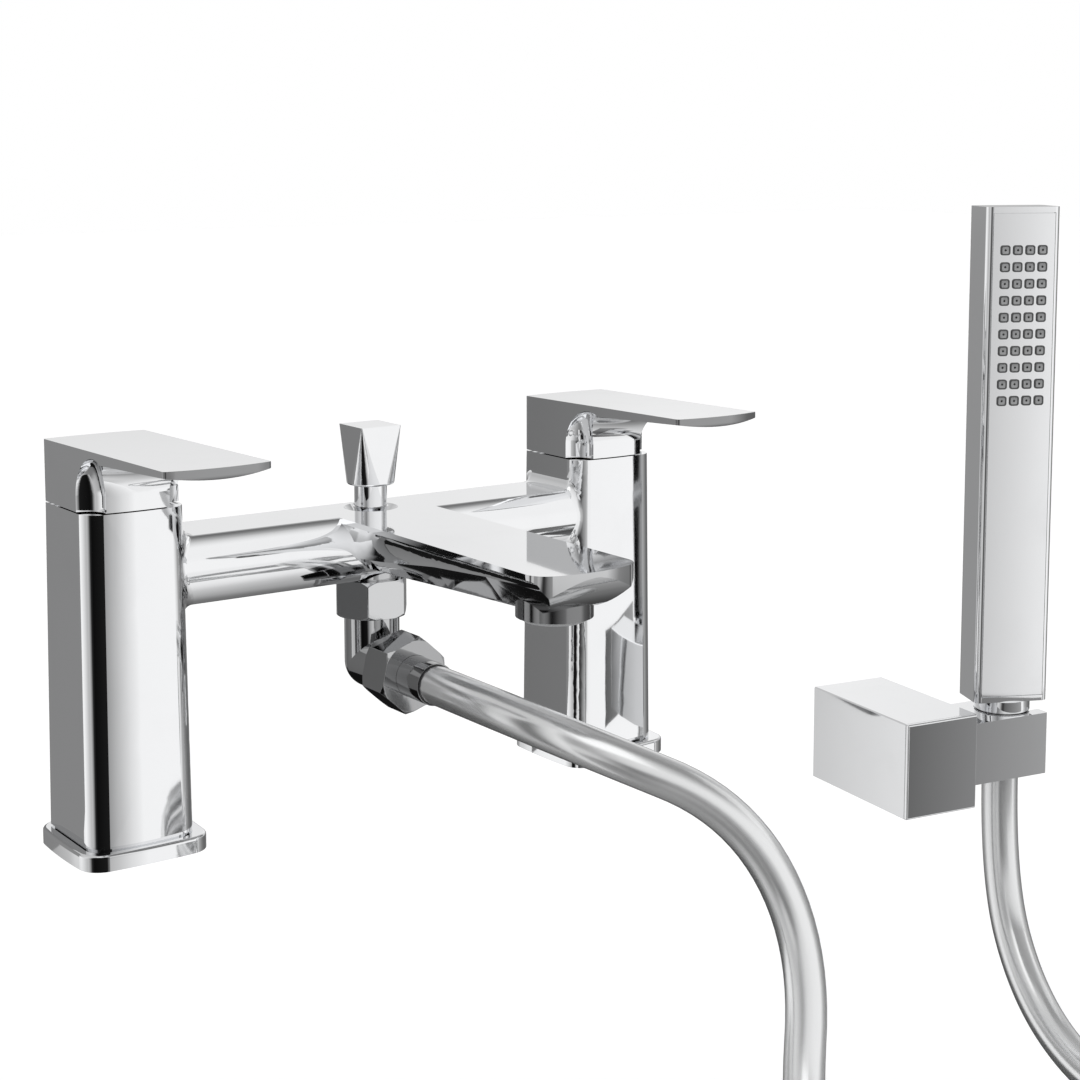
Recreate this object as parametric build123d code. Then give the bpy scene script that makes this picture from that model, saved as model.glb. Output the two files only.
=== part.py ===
"""Bath shower mixer: a deck mixer on two pillars, its hose, a handset and a wall bracket.

The frame: X runs along the two pillars with hot on the left, the spout points to -Y,
Z is up and z = 0 is the bath deck under the base plates. All lengths are in millimetres.
"""
import math
import os

from build123d import *

# Driving dimensions of the mixer
INLET_DISTANCE = 180.0
PILLAR_WIDTH = 33.4
PILLAR_DEPTH = 33.4
FACE_BOW = 1.7
BACK_BOW = 1.1
FRONT_CORNER_RADIUS = 6.5
BACK_CORNER_RADIUS = 0.8
PILLAR_TOP = 107.8
FOOT_GROWTH = 0.9
PLATE_WIDTH = 42.5
PLATE_HEIGHT = 5.0
PLATE_CORNER_RADIUS = 7.5
PLATE_EDGE_RADIUS = 1.0
SHADOW_GAP = 0.5
SHADOW_INSET = 0.9
SPLIT_GAP = 0.4
RUNNING_CLEARANCE = 0.05
OVERRUN = 2.0

# Bridge and spout
BRIDGE_TOP = 97.4
BRIDGE_HEIGHT = 22.9
BRIDGE_TOP_HALF = 11.6
BRIDGE_BELLY_HALF = 14.4
BRIDGE_BOTTOM_HALF = 8.0
BRIDGE_FILLET = 4.0
BRIDGE_EDGE_RADIUS = 1.2
BRIDGE_SINK = 3.0
ROOT_BAND = 1.2
TUNNEL_RADIUS = 5.5
TUNNEL_HEIGHT = 85.0
DUCT_RADIUS = 4.4
DUCT_HEIGHT = 88.0
SPOUT_REACH = 125.4
SPOUT_TOP_HALF = 18.3
SPOUT_EDGE = 1.7
SPOUT_TIP_BOW = 4.2
SPOUT_TIP_RADIUS = 7.0
SPOUT_BACK = 9.0
NOSE_STEP = 3.0
NOSE_DROP = 13.8
NOSE_BELLY_IN = 4.6
NOSE_BELLY_DROP = 8.6
SHOULDER_SHARE = 0.72
SHOULDER_DROP_SHARE = 0.42
# Along the reach; then the ridge's half width and depth, and the underside's half width and depth
SPOUT_STATION_SHARES = [
    (-0.080, 0.765, 0.676, 0.464, 0.805),
    (0.239, 0.776, 0.515, 0.464, 0.742),
    (0.494, 0.798, 0.341, 0.470, 0.677),
    (0.734, 0.842, 0.236, 0.481, 0.620),
    (1.020, 0.908, 0.174, 0.503, 0.558),
]

# Lever handles
LEVER_TIP = 72.6
LEVER_TIP_BOW = 2.2
LEVER_TOP_BACK = 127.4
LEVER_TOP_TIP = 128.7
LEVER_TIP_THICKNESS = 3.3
LEVER_ARCH_THICKNESS = 4.9
LEVER_ARCH_RADIUS = 10.0
LEVER_CROWN = 1.5
LEVER_TIP_RADIUS = 1.2
ARCH_SWEEP_DEGREES = 88.0
# Along the arch's sweep; then the corner's radius, which dies away
ARCH_CORNER_SHARES = [(0.0, 1.0), (0.341, 0.80), (0.682, 0.446), (1.0, 0.077)]
HANDLE_CLEARANCE = 0.8
GRUB_RADIUS = 2.0
GRUB_RISE = 8.8
GRUB_LENGTH = 9.0

# Valve cartridges
INLET_RADIUS = 12.05
INLET_LENGTH = 15.0
TAIL_THREAD_RADIUS = 13.2
TAIL_CLEARANCE = 0.3
WATERWAY_RADIUS = 7.5
CARTRIDGE_RADIUS = 9.3
CARTRIDGE_LENGTH = 24.0
CARTRIDGE_COLLAR_RADIUS = 11.3
CARTRIDGE_COLLAR_HEIGHT = 4.2
CARTRIDGE_NECK_RADIUS = 7.0
CARTRIDGE_NECK_HEIGHT = 4.6
SPINDLE_RADIUS = 4.0
SPINDLE_RISE = 12.4
DISC_RADIUS = 7.2
DISC_THICKNESS = 2.4
PORT_RADIUS = 2.2

# Diverter
CHAMBER_RADIUS = 8.5
CHAMBER_CROWN = 6.4
BONNET_DEPTH = 2.0
COLLAR_RADIUS = 5.45
COLLAR_DISH_RADIUS = 9.0
COLLAR_DISH_DEPTH = 4.6
RING_HEIGHT = 0.4
RING_OVERHANG = 0.35
STEM_RADIUS = 5.4
KNOB_BOTTOM = 105.2
KNOB_TOP = 125.0
KNOB_TOP_HALF = 7.45
KNOB_BOTTOM_HALF = 7.7
KNOB_BOTTOM_RADIUS = 7.4
KNOB_EDGE_RADIUS = 0.3
KNOB_UNDER_RADIUS = 0.8
SPINDLE_ROD_RADIUS = 2.5
PLUG_RADIUS = 5.6
PLUG_HEIGHT = 3.0
PLUG_TOP = 81.1

# Shower outlet
NIPPLE_RADIUS = 9.1
NIPPLE_BORE_RADIUS = 5.5
NIPPLE_SEAT_RADIUS = 10.2
NIPPLE_STOP = 4.0
NIPPLE_STEP = 0.9
UPPER_NUT_TOP = 74.1
UPPER_NUT_BOTTOM = 61.5
NUT_FLATS = 22.4
NUT_CHAMFER = 1.3
UPPER_NUT_TURN = 55.0
ELBOW_RADIUS = 9.2
ELBOW_BORE_RADIUS = 6.4
OUTLET_HEIGHT = 45.7
ELBOW_REACH = 13.0
HOSE_NUT_BACK = 13.4
HOSE_NUT_LENGTH = 13.4
HOSE_NUT_TURN = 18.0
FERRULE_RADIUS = 6.9
FERRULE_END = 39.8
SEAL_RING_RADIUS = 6.5
SEAL_RING_LENGTH = 0.5
HOSE_BORE_RADIUS = 4.5

# Aerator
AERATOR_SETBACK = 20.4
AERATOR_RADIUS = 11.5
AERATOR_TOP = 91.0
AERATOR_BOTTOM = 81.0
AERATOR_INSERT_RADIUS = 9.3
AERATOR_LIP = 1.2
AERATOR_HOLES = 8
AERATOR_HOLE_RADIUS = 1.5
AERATOR_RING_SHARE = 0.6

# Shower hose, held in real centrelines
HOSE_DIAMETER = 12.6
HOSE_EXIT = (0.0, -40.3, 45.7)
FLOOR = -128.0
COIL_RADIUS = 63.0
COIL_CENTRE = (125.5, -245.8)
COIL_ENTRY_DEGREES = 246.6
COIL_EXIT_DEGREES = 10.9
COIL_WHOLE_TURNS = 3
COIL_PITCH = 14.2
COIL_STEP_DEGREES = 90.0
COIL_EASE_DEGREES = 30.0
GAP_SAMPLES = 240
HOSE_FRONT_POINTS = [
    (0.0, -70.5, 45.7),
    (15.0, -105.0, 38.0),
    (50.5, -129.5, 20.0),
    (66.5, -144.5, -21.0),
    (49.0, -160.0, -70.0),
    (21.0, -205.0, -100.5),
    (24.0, -246.0, -117.0),
]
HOSE_LAST_RUN = 44.0
HOSE_LIFT_RUN = 30.0
HOSE_RISER_POINTS = [
    (185.0, -154.0, -94.0),
    (192.5, -119.0, -78.0),
    (199.7, -96.6, -42.7),
]
RUN_SHARE = 0.45

# Wall bracket and handset, in the bracket's own turned frame
BRACKET_AXIS = (199.7, -96.6)
BRACKET_YAW = -8.0
BLOCK_RIGHT = -24.2
BLOCK_FRONT = -17.0
BLOCK_BACK = 38.0
BLOCK_BOTTOM = -8.9
BLOCK_TOP = 23.9
BLOCK_CAP = 1.6
BLOCK_WALL = 2.6
BLOCK_HOLLOW = 22.0
GRUB_SETBACK = 8.0
LUG_HALF = 5.0
LUG_LENGTH = 12.0
LUG_HEIGHT = 7.0
WALL_PLATE_THICKNESS = 3.0
ARM_END = 10.6
ARM_HALF_DEPTH = 12.0
ARM_BOTTOM = -2.9
ARM_TOP = 18.9
ARM_GAP = 0.3
PIVOT_RADIUS = 5.0
PIVOT_LENGTH = 16.0
ARM_PIN_LENGTH = 8.0
SEAT_TOP_RADIUS = 9.7
SEAT_BOTTOM_RADIUS = 8.4
SLOT_WIDTH = 13.8
CONE_CLEARANCE = 0.3
EDGE_BREAK = 0.4
WALL_SCREW_SPACING = 16.0
WALL_SCREW_RADIUS = 2.1
WALL_SCREW_HEAD = 3.9
WALL_SCREW_ROOM = 0.1
SCREW_HEAD_HEIGHT = 2.0
SCREW_RAISE = 5.0

HANDSET_TURN = -24.0
HANDSET_BOTTOM = 23.3
HANDSET_TOP = 195.5
HANDSET_HALF_WIDTH = 13.3
HANDSET_FRONT = 8.4
HANDSET_BACK = 7.8
HANDSET_CORNER = 2.2
FACE_INSET = 2.0
FACE_DEPTH = 0.8
FACE_CLEARANCE = 0.15
NOZZLE_ROWS = 10
NOZZLE_COLUMNS = 4
NOZZLE_ROW_STEP = 5.73
NOZZLE_COLUMN_STEP = 4.5
NOZZLE_TOP = 180.8
NOZZLE_SIDE = 3.4
NOZZLE_RISE = 0.5
NECK_RADIUS = 9.6
NECK_BOTTOM = 19.4
CONE_TOP = 18.6
CONE_BOTTOM = -2.2
HOSE_TAIL_RADIUS = 5.2
HOSE_TAIL_TOP = 12.0
RISER_TOP = -3.5
TAIL_BORE_RADIUS = 3.5

HALF_SPACING = INLET_DISTANCE / 2
HALF_WIDTH = PILLAR_WIDTH / 2
HALF_DEPTH = PILLAR_DEPTH / 2
BRIDGE_BOTTOM = BRIDGE_TOP - BRIDGE_HEIGHT
BRIDGE_MIDDLE = BRIDGE_TOP - BRIDGE_HEIGHT / 2
CHAMBER_TOP = BRIDGE_TOP - CHAMBER_CROWN
NIPPLE_INNER_TOP = PLUG_TOP - PLUG_HEIGHT - RUNNING_CLEARANCE
AERATOR_PLACE = SPOUT_REACH - AERATOR_SETBACK
LEVER_BOTTOM = PILLAR_TOP + SPLIT_GAP
LEVER_SLOPE = (LEVER_TOP_TIP - LEVER_TOP_BACK) / (LEVER_TIP + HALF_DEPTH)
GRUB_HEIGHT = LEVER_BOTTOM + GRUB_RISE
CARTRIDGE_SEAT = PILLAR_TOP - CARTRIDGE_LENGTH
MOVING_DISC_BOTTOM = CARTRIDGE_SEAT + DISC_THICKNESS + RUNNING_CLEARANCE
MOVING_DISC_TOP = MOVING_DISC_BOTTOM + DISC_THICKNESS
COIL_ANGLE = 360.0 * COIL_WHOLE_TURNS + COIL_EXIT_DEGREES - COIL_ENTRY_DEGREES
BLOCK_LEFT = BLOCK_RIGHT - WALL_SCREW_SPACING - 2 * (WALL_SCREW_HEAD + WALL_SCREW_ROOM + BLOCK_WALL)
BLOCK_MIDDLE = (BLOCK_LEFT + BLOCK_RIGHT) / 2
PIVOT_HEIGHT = (ARM_BOTTOM + ARM_TOP) / 2
PIVOT_PIN_RADIUS = PIVOT_RADIUS - RUNNING_CLEARANCE
SIDES = {"hot": -1, "cold": 1}


def pillar_place(side, height=0.0):
    """Location on the axis of one pillar."""
    return Pos(side * HALF_SPACING, 0, height)


def pillar_outline(grow=0.0):
    """Plan of a pillar: flat sides, bowed front and back, rounded front corners."""
    half = HALF_WIDTH + grow
    front = -(HALF_DEPTH + grow)
    back = HALF_DEPTH + grow
    left_front = (-half, front + FACE_BOW)
    right_front = (half, front + FACE_BOW)
    left_back = (-half, back - BACK_BOW)
    right_back = (half, back - BACK_BOW)
    edges = [
        Line(left_front, left_back),
        ThreePointArc(left_back, (0, back), right_back),
        Line(right_back, right_front),
        ThreePointArc(right_front, (0, front), left_front),
    ]
    plan = Sketch() + make_face(edges)
    corners = plan.vertices().group_by(Axis.Y)
    plan = fillet(corners[0], FRONT_CORNER_RADIUS)
    return fillet(plan.vertices().group_by(Axis.Y)[-1], BACK_CORNER_RADIUS)


def rod(radius, bottom, top):
    """Upright round bar between two heights."""
    return Pos(0, 0, bottom) * Cylinder(radius, top - bottom, align=(Align.CENTER, Align.CENTER, Align.MIN))


def cone(bottom_radius, top_radius, bottom, top):
    """Upright cone between two heights."""
    return Pos(0, 0, bottom) * Cone(
        bottom_radius, top_radius, top - bottom, align=(Align.CENTER, Align.CENTER, Align.MIN)
    )


def box_between(low, high):
    """Box from its low corner to its high corner."""
    size = [high[i] - low[i] for i in range(3)]
    return Pos(*low) * Box(*size, align=(Align.MIN, Align.MIN, Align.MIN))


def hex_nut(flats, length, turn, bore):
    """Hexagon nut from z = 0 up, its corners chamfered at both ends."""
    corner = flats / 2 / math.cos(math.pi / 6)
    body = extrude(Rot(0, 0, turn) * RegularPolygon(corner, 6), length)
    cap = corner - NUT_CHAMFER
    lower = cone(cap, cap + length, 0, length)
    upper = cone(cap + length, cap, 0, length)
    return (body & lower & upper) - rod(bore, -OVERRUN, length + OVERRUN)


def pillar(side):
    """One pillar with its shadow gap at the foot."""
    foot = Plane.XY.offset(PLATE_HEIGHT + SHADOW_GAP) * pillar_outline(FOOT_GROWTH)
    head = Plane.XY.offset(PILLAR_TOP) * pillar_outline()
    gap = Plane.XY.offset(PLATE_HEIGHT) * pillar_outline(FOOT_GROWTH - SHADOW_INSET)
    body = loft([foot, head]) + extrude(gap, SHADOW_GAP)
    return pillar_place(side) * body


def bridge_section():
    """Section across the bridge: flat top, bellied faces, narrower rounded underside."""
    top_left = (-BRIDGE_TOP_HALF, BRIDGE_TOP)
    top_right = (BRIDGE_TOP_HALF, BRIDGE_TOP)
    low_left = (-BRIDGE_BOTTOM_HALF, BRIDGE_BOTTOM + EDGE_BREAK)
    low_right = (BRIDGE_BOTTOM_HALF, BRIDGE_BOTTOM + EDGE_BREAK)
    edges = [
        Line(top_left, top_right),
        ThreePointArc(top_right, (BRIDGE_BELLY_HALF, BRIDGE_MIDDLE), low_right),
        ThreePointArc(low_right, (0, BRIDGE_BOTTOM), low_left),
        ThreePointArc(low_left, (-BRIDGE_BELLY_HALF, BRIDGE_MIDDLE), top_left),
    ]
    section = Sketch() + make_face(edges)
    return fillet(section.vertices(), BRIDGE_EDGE_RADIUS)


def spout_section(place_share, ridge_share, ridge_drop_share, bottom_share, bottom_drop_share):
    """Section across the spout: thin top edge, hollow shoulder, ridge and lower facet."""
    half = SPOUT_TOP_HALF
    ridge_half = half * ridge_share
    ridge_height = BRIDGE_TOP - BRIDGE_HEIGHT * ridge_drop_share
    bottom_half = half * bottom_share
    bottom_height = BRIDGE_TOP - BRIDGE_HEIGHT * bottom_drop_share
    edge_bottom = BRIDGE_TOP - SPOUT_EDGE
    hollow = (
        half - (half - ridge_half) * SHOULDER_SHARE,
        edge_bottom - (edge_bottom - ridge_height) * SHOULDER_DROP_SHARE,
    )
    right = [(half, BRIDGE_TOP), (half, edge_bottom), hollow, (ridge_half, ridge_height)]
    low = (bottom_half, bottom_height)
    left = [(-x, z) for x, z in right]
    low_left = (-bottom_half, bottom_height)
    edges = [
        Line(left[0], right[0]),
        Line(right[0], right[1]),
        ThreePointArc(right[1], right[2], right[3]),
        Line(right[3], low),
        Line(low, low_left),
        Line(low_left, left[3]),
        ThreePointArc(left[3], left[2], left[1]),
        Line(left[1], left[0]),
    ]
    plane = Plane(origin=(0, -SPOUT_REACH * place_share, 0), x_dir=(1, 0, 0), z_dir=(0, -1, 0))
    return plane * make_face(edges)


def spout():
    """Spout: lofted sections cut to the plan of its tip and to its bowl-like nose."""
    body = loft([spout_section(*station) for station in SPOUT_STATION_SHARES], ruled=True)
    tip = -SPOUT_REACH
    corner = tip + SPOUT_TIP_BOW
    half = SPOUT_TOP_HALF
    plan = make_face([
        Line((-half, SPOUT_BACK), (half, SPOUT_BACK)),
        Line((half, SPOUT_BACK), (half, corner)),
        ThreePointArc((half, corner), (0, tip), (-half, corner)),
        Line((-half, corner), (-half, SPOUT_BACK)),
    ])
    plan = Sketch() + plan
    plan = fillet(plan.vertices().group_by(Axis.Y)[0], SPOUT_TIP_RADIUS)
    column = Plane.XY.offset(BRIDGE_BOTTOM) * plan
    column = extrude(column, BRIDGE_HEIGHT)
    nose_top = (tip, BRIDGE_TOP - SPOUT_EDGE)
    nose_low = (-(AERATOR_PLACE + NOSE_STEP), BRIDGE_TOP - NOSE_DROP)
    nose_middle = (tip + NOSE_BELLY_IN, BRIDGE_TOP - NOSE_BELLY_DROP)
    side = make_face([
        Line((SPOUT_BACK, BRIDGE_TOP), (tip, BRIDGE_TOP)),
        Line((tip, BRIDGE_TOP), nose_top),
        ThreePointArc(nose_top, nose_middle, nose_low),
        Line(nose_low, (SPOUT_BACK, BRIDGE_BOTTOM)),
        Line((SPOUT_BACK, BRIDGE_BOTTOM), (SPOUT_BACK, BRIDGE_TOP)),
    ])
    profile = extrude(Plane.YZ * side, SPOUT_TOP_HALF + OVERRUN, both=True)
    return body & column & profile


def casting():
    """The brass body: pillars, bridge and spout, with its waterways."""
    reach = HALF_SPACING - HALF_WIDTH + BRIDGE_SINK
    bar = extrude(Plane.YZ * bridge_section(), reach, both=True)
    body = pillar(SIDES["hot"]) + pillar(SIDES["cold"]) + bar
    roots = body.edges().filter_by(lambda e: is_bridge_root(e))
    body = fillet(roots, BRIDGE_FILLET)
    body = body + spout()
    for side in SIDES.values():
        bores = rod(INLET_RADIUS, PLATE_HEIGHT - OVERRUN, PLATE_HEIGHT + INLET_LENGTH)
        bores += rod(WATERWAY_RADIUS, PLATE_HEIGHT, PILLAR_TOP)
        bores += rod(CARTRIDGE_RADIUS, CARTRIDGE_SEAT, PILLAR_TOP + OVERRUN)
        bores += rod(CARTRIDGE_COLLAR_RADIUS, PILLAR_TOP - CARTRIDGE_COLLAR_HEIGHT, PILLAR_TOP + OVERRUN)
        body -= pillar_place(side) * bores
    tunnel = Cylinder(TUNNEL_RADIUS, INLET_DISTANCE)
    body -= Pos(0, 0, TUNNEL_HEIGHT) * Rot(0, 90, 0) * tunnel
    body -= rod(CHAMBER_RADIUS, BRIDGE_BOTTOM - OVERRUN, CHAMBER_TOP)
    body -= rod(NIPPLE_SEAT_RADIUS, BRIDGE_BOTTOM - OVERRUN, NIPPLE_INNER_TOP)
    body -= rod(COLLAR_RADIUS, CHAMBER_TOP, BRIDGE_TOP + OVERRUN)
    body -= cone(COLLAR_RADIUS, COLLAR_DISH_RADIUS, BRIDGE_TOP - COLLAR_DISH_DEPTH, BRIDGE_TOP)
    duct = Cylinder(DUCT_RADIUS, AERATOR_PLACE, align=(Align.CENTER, Align.CENTER, Align.MIN))
    body -= Pos(0, 0, DUCT_HEIGHT) * Rot(90, 0, 0) * duct
    body -= Pos(0, -AERATOR_PLACE, 0) * rod(AERATOR_RADIUS, BRIDGE_BOTTOM, AERATOR_TOP)
    return body


def is_bridge_root(edge):
    """True for the edges where the bridge meets the inner faces of the pillars."""
    middle = edge.center()
    size = edge.bounding_box().size
    past_face = abs(middle.X) - (HALF_SPACING - HALF_WIDTH)
    near_face = -ROOT_BAND < past_face < FRONT_CORNER_RADIUS
    near_height = BRIDGE_BOTTOM - ROOT_BAND < middle.Z < BRIDGE_TOP + ROOT_BAND
    return near_face and near_height and size.Z < BRIDGE_HEIGHT and size.X < BRIDGE_HEIGHT


def base_plate(side):
    """Square plate with bowed edges under a pillar, open for the inlet."""
    half = PLATE_WIDTH / 2
    inner = half - BACK_BOW
    edges = [
        ThreePointArc((-inner, -inner), (0, -half), (inner, -inner)),
        ThreePointArc((inner, -inner), (half, 0), (inner, inner)),
        ThreePointArc((inner, inner), (0, half), (-inner, inner)),
        ThreePointArc((-inner, inner), (-half, 0), (-inner, -inner)),
    ]
    plan = Sketch() + make_face(edges)
    plan = fillet(plan.vertices(), PLATE_CORNER_RADIUS)
    plate = extrude(plan, PLATE_HEIGHT)
    plate = fillet(plate.edges().group_by(Axis.Z)[-1], PLATE_EDGE_RADIUS)
    plate -= rod(TAIL_THREAD_RADIUS + TAIL_CLEARANCE, -OVERRUN, PLATE_HEIGHT + OVERRUN)
    return pillar_place(side) * plate


def crown_cutter():
    """Bar that trims a flat face to the crown: nothing at the middle, most at the sides."""
    half = HALF_WIDTH + OVERRUN
    drop = LEVER_CROWN * (half / HALF_WIDTH) ** 2
    edges = [
        ThreePointArc((-half, drop), (0, 0), (half, drop)),
        Line((half, drop), (half, -OVERRUN)),
        Line((half, -OVERRUN), (-half, -OVERRUN)),
        Line((-half, -OVERRUN), (-half, drop)),
    ]
    return make_face(edges)


def corner_face(radius, side):
    """What is left outside a rounded corner, drawn at the corner with y into the metal."""
    edges = [
        Line((side * OVERRUN, -OVERRUN), (-side * radius, -OVERRUN)),
        Line((-side * radius, -OVERRUN), (-side * radius, 0)),
        RadiusArc((-side * radius, 0), (0, radius), side * radius),
        Line((0, radius), (side * OVERRUN, radius)),
        Line((side * OVERRUN, radius), (side * OVERRUN, -OVERRUN)),
    ]
    return make_face(edges)


def lever():
    """Lever handle about its own axis: a square block that sweeps up into a flat lever."""
    bottom = LEVER_BOTTOM
    front = -HALF_DEPTH
    under_arch = LEVER_TOP_BACK + LEVER_SLOPE * (HALF_DEPTH + HALF_DEPTH + LEVER_ARCH_RADIUS)
    under_arch -= LEVER_ARCH_THICKNESS
    centre = (front - LEVER_ARCH_RADIUS, under_arch - LEVER_ARCH_RADIUS)
    turn = LEVER_ARCH_RADIUS * math.sqrt(0.5)
    middle = (centre[0] + turn, centre[1] + turn)
    tip = -LEVER_TIP
    side = make_face([
        Line((HALF_DEPTH, bottom), (HALF_DEPTH, LEVER_TOP_BACK)),
        Line((HALF_DEPTH, LEVER_TOP_BACK), (tip, LEVER_TOP_TIP)),
        Line((tip, LEVER_TOP_TIP), (tip, LEVER_TOP_TIP - LEVER_TIP_THICKNESS)),
        Line((tip, LEVER_TOP_TIP - LEVER_TIP_THICKNESS), (centre[0], under_arch)),
        ThreePointArc((centre[0], under_arch), middle, (front, centre[1])),
        Line((front, centre[1]), (front, bottom)),
        Line((front, bottom), (HALF_DEPTH, bottom)),
    ])
    body = extrude(Plane.YZ * side, HALF_WIDTH, both=True)
    crown = crown_cutter()
    post = Plane(origin=(0, front, bottom - OVERRUN), x_dir=(1, 0, 0), z_dir=(0, 0, 1))
    body -= extrude(post * crown, centre[1] - bottom + OVERRUN)
    start = Plane(origin=(0, front, centre[1]), x_dir=(1, 0, 0), z_dir=(0, 0, 1))
    hinge = Axis((0, centre[0], centre[1]), (1, 0, 0))
    body -= revolve(start * crown, hinge, 90)
    rise = LEVER_TOP_TIP - LEVER_TIP_THICKNESS - under_arch
    slope = math.degrees(math.atan2(rise, LEVER_TIP + centre[0]))
    under = Plane(origin=(0, centre[0], under_arch), x_dir=(1, 0, 0), z_dir=(0, -1, 0))
    under = under.rotated((-slope, 0, 0))
    body -= extrude(under * crown, LEVER_TIP + OVERRUN)
    for hand in (-1, 1):
        foot = (hand * HALF_WIDTH, front + LEVER_CROWN, bottom - OVERRUN)
        edge = Plane(origin=foot, x_dir=(1, 0, 0), z_dir=(0, 0, 1))
        body -= extrude(edge * corner_face(FRONT_CORNER_RADIUS, hand), centre[1] - bottom + OVERRUN)
        rings = []
        for sweep_share, radius_share in ARCH_CORNER_SHARES:
            turned = math.radians(ARCH_SWEEP_DEGREES * sweep_share)
            radius = FRONT_CORNER_RADIUS * radius_share
            reach = LEVER_ARCH_RADIUS + LEVER_CROWN
            origin = (
                hand * HALF_WIDTH,
                centre[0] + reach * math.cos(turned),
                centre[1] + reach * math.sin(turned),
            )
            plane = Plane(origin=origin, x_dir=(1, 0, 0), z_dir=(0, -math.sin(turned), math.cos(turned)))
            rings.append(plane * corner_face(radius, hand))
        body -= loft(rings)
    back = HALF_DEPTH - BACK_BOW
    corner = tip + LEVER_TIP_BOW
    plan = make_face([
        ThreePointArc((-HALF_WIDTH, back), (0, HALF_DEPTH), (HALF_WIDTH, back)),
        Line((HALF_WIDTH, back), (HALF_WIDTH, corner)),
        ThreePointArc((HALF_WIDTH, corner), (0, tip), (-HALF_WIDTH, corner)),
        Line((-HALF_WIDTH, corner), (-HALF_WIDTH, back)),
    ])
    plan = Sketch() + plan
    plan = fillet(plan.vertices().group_by(Axis.Y)[-1], BACK_CORNER_RADIUS)
    plan = fillet(plan.vertices().group_by(Axis.Y)[0], LEVER_TIP_RADIUS)
    body &= extrude(Plane.XY.offset(bottom) * plan, LEVER_TOP_TIP - bottom + OVERRUN)
    hollow_top = PILLAR_TOP + CARTRIDGE_NECK_HEIGHT + HANDLE_CLEARANCE
    body -= rod(CARTRIDGE_COLLAR_RADIUS, bottom - OVERRUN, hollow_top)
    body -= rod(SPINDLE_RADIUS, bottom - OVERRUN, PILLAR_TOP + SPINDLE_RISE)
    screw = Cylinder(GRUB_RADIUS, HALF_DEPTH + OVERRUN, align=(Align.CENTER, Align.CENTER, Align.MIN))
    body -= Pos(0, 0, GRUB_HEIGHT) * Rot(-90, 0, 0) * screw
    return body


def grub_screw():
    """Screw behind the handle that bears on the spindle."""
    screw = Cylinder(GRUB_RADIUS, GRUB_LENGTH, align=(Align.CENTER, Align.CENTER, Align.MIN))
    return Pos(0, SPINDLE_RADIUS, GRUB_HEIGHT) * Rot(-90, 0, 0) * screw


def cartridge():
    """Valve bush: threaded barrel, collar in the pillar's counterbore and spindle neck."""
    top = PILLAR_TOP
    body = rod(CARTRIDGE_RADIUS, CARTRIDGE_SEAT, top - CARTRIDGE_COLLAR_HEIGHT)
    body += rod(CARTRIDGE_COLLAR_RADIUS, top - CARTRIDGE_COLLAR_HEIGHT, top)
    body += rod(CARTRIDGE_NECK_RADIUS, top, top + CARTRIDGE_NECK_HEIGHT)
    body -= rod(SPINDLE_RADIUS + RUNNING_CLEARANCE, CARTRIDGE_SEAT, top + CARTRIDGE_NECK_HEIGHT + OVERRUN)
    disc_space = DISC_RADIUS + RUNNING_CLEARANCE
    body -= rod(disc_space, CARTRIDGE_SEAT - OVERRUN, MOVING_DISC_TOP + RUNNING_CLEARANCE)
    return body


def fixed_disc():
    """Ceramic disc held still in the bush, with its two ports."""
    disc = rod(DISC_RADIUS + RUNNING_CLEARANCE, CARTRIDGE_SEAT, CARTRIDGE_SEAT + DISC_THICKNESS)
    port = rod(PORT_RADIUS, CARTRIDGE_SEAT - OVERRUN, MOVING_DISC_TOP)
    for hand in (-1, 1):
        disc -= Pos(hand * DISC_RADIUS / 2, 0, 0) * port
    return disc


def moving_disc():
    """Ceramic disc turned by the spindle, its ports a quarter turn away."""
    disc = rod(DISC_RADIUS, MOVING_DISC_BOTTOM, MOVING_DISC_TOP)
    port = rod(PORT_RADIUS, CARTRIDGE_SEAT, MOVING_DISC_TOP + OVERRUN)
    for hand in (-1, 1):
        disc -= Pos(0, hand * DISC_RADIUS / 2, 0) * port
    return disc


def spindle():
    """Spindle from the moving disc up into the handle."""
    return rod(SPINDLE_RADIUS, MOVING_DISC_TOP, PILLAR_TOP + SPINDLE_RISE)


def bonnet():
    """Guide of the diverter stem: barrel in the chamber and the collar that shows."""
    low = CHAMBER_TOP - BONNET_DEPTH
    body = rod(CHAMBER_RADIUS, low, CHAMBER_TOP)
    body += rod(COLLAR_RADIUS, CHAMBER_TOP, BRIDGE_TOP)
    body += rod(COLLAR_RADIUS + RING_OVERHANG, BRIDGE_TOP, BRIDGE_TOP + RING_HEIGHT)
    return body - rod(SPINDLE_ROD_RADIUS + RUNNING_CLEARANCE, low - OVERRUN, BRIDGE_TOP + OVERRUN)


def knob():
    """Diverter knob: square at the top, drawn in to a rounded square at the stem."""
    square = Sketch() + RectangleRounded(2 * KNOB_TOP_HALF, 2 * KNOB_TOP_HALF, KNOB_EDGE_RADIUS)
    round_end = Sketch() + RectangleRounded(2 * KNOB_BOTTOM_HALF, 2 * KNOB_BOTTOM_HALF, KNOB_BOTTOM_RADIUS)
    body = loft([Plane.XY.offset(KNOB_BOTTOM) * round_end, Plane.XY.offset(KNOB_TOP) * square], ruled=True)
    return fillet(body.edges().group_by(Axis.Z)[0], KNOB_UNDER_RADIUS)


def knob_stem():
    """Sleeve below the knob and the thin rod inside it."""
    sleeve = rod(STEM_RADIUS, BRIDGE_TOP + RING_HEIGHT + RUNNING_CLEARANCE, KNOB_BOTTOM)
    return sleeve + rod(SPINDLE_ROD_RADIUS, PLUG_TOP, KNOB_BOTTOM)


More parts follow.
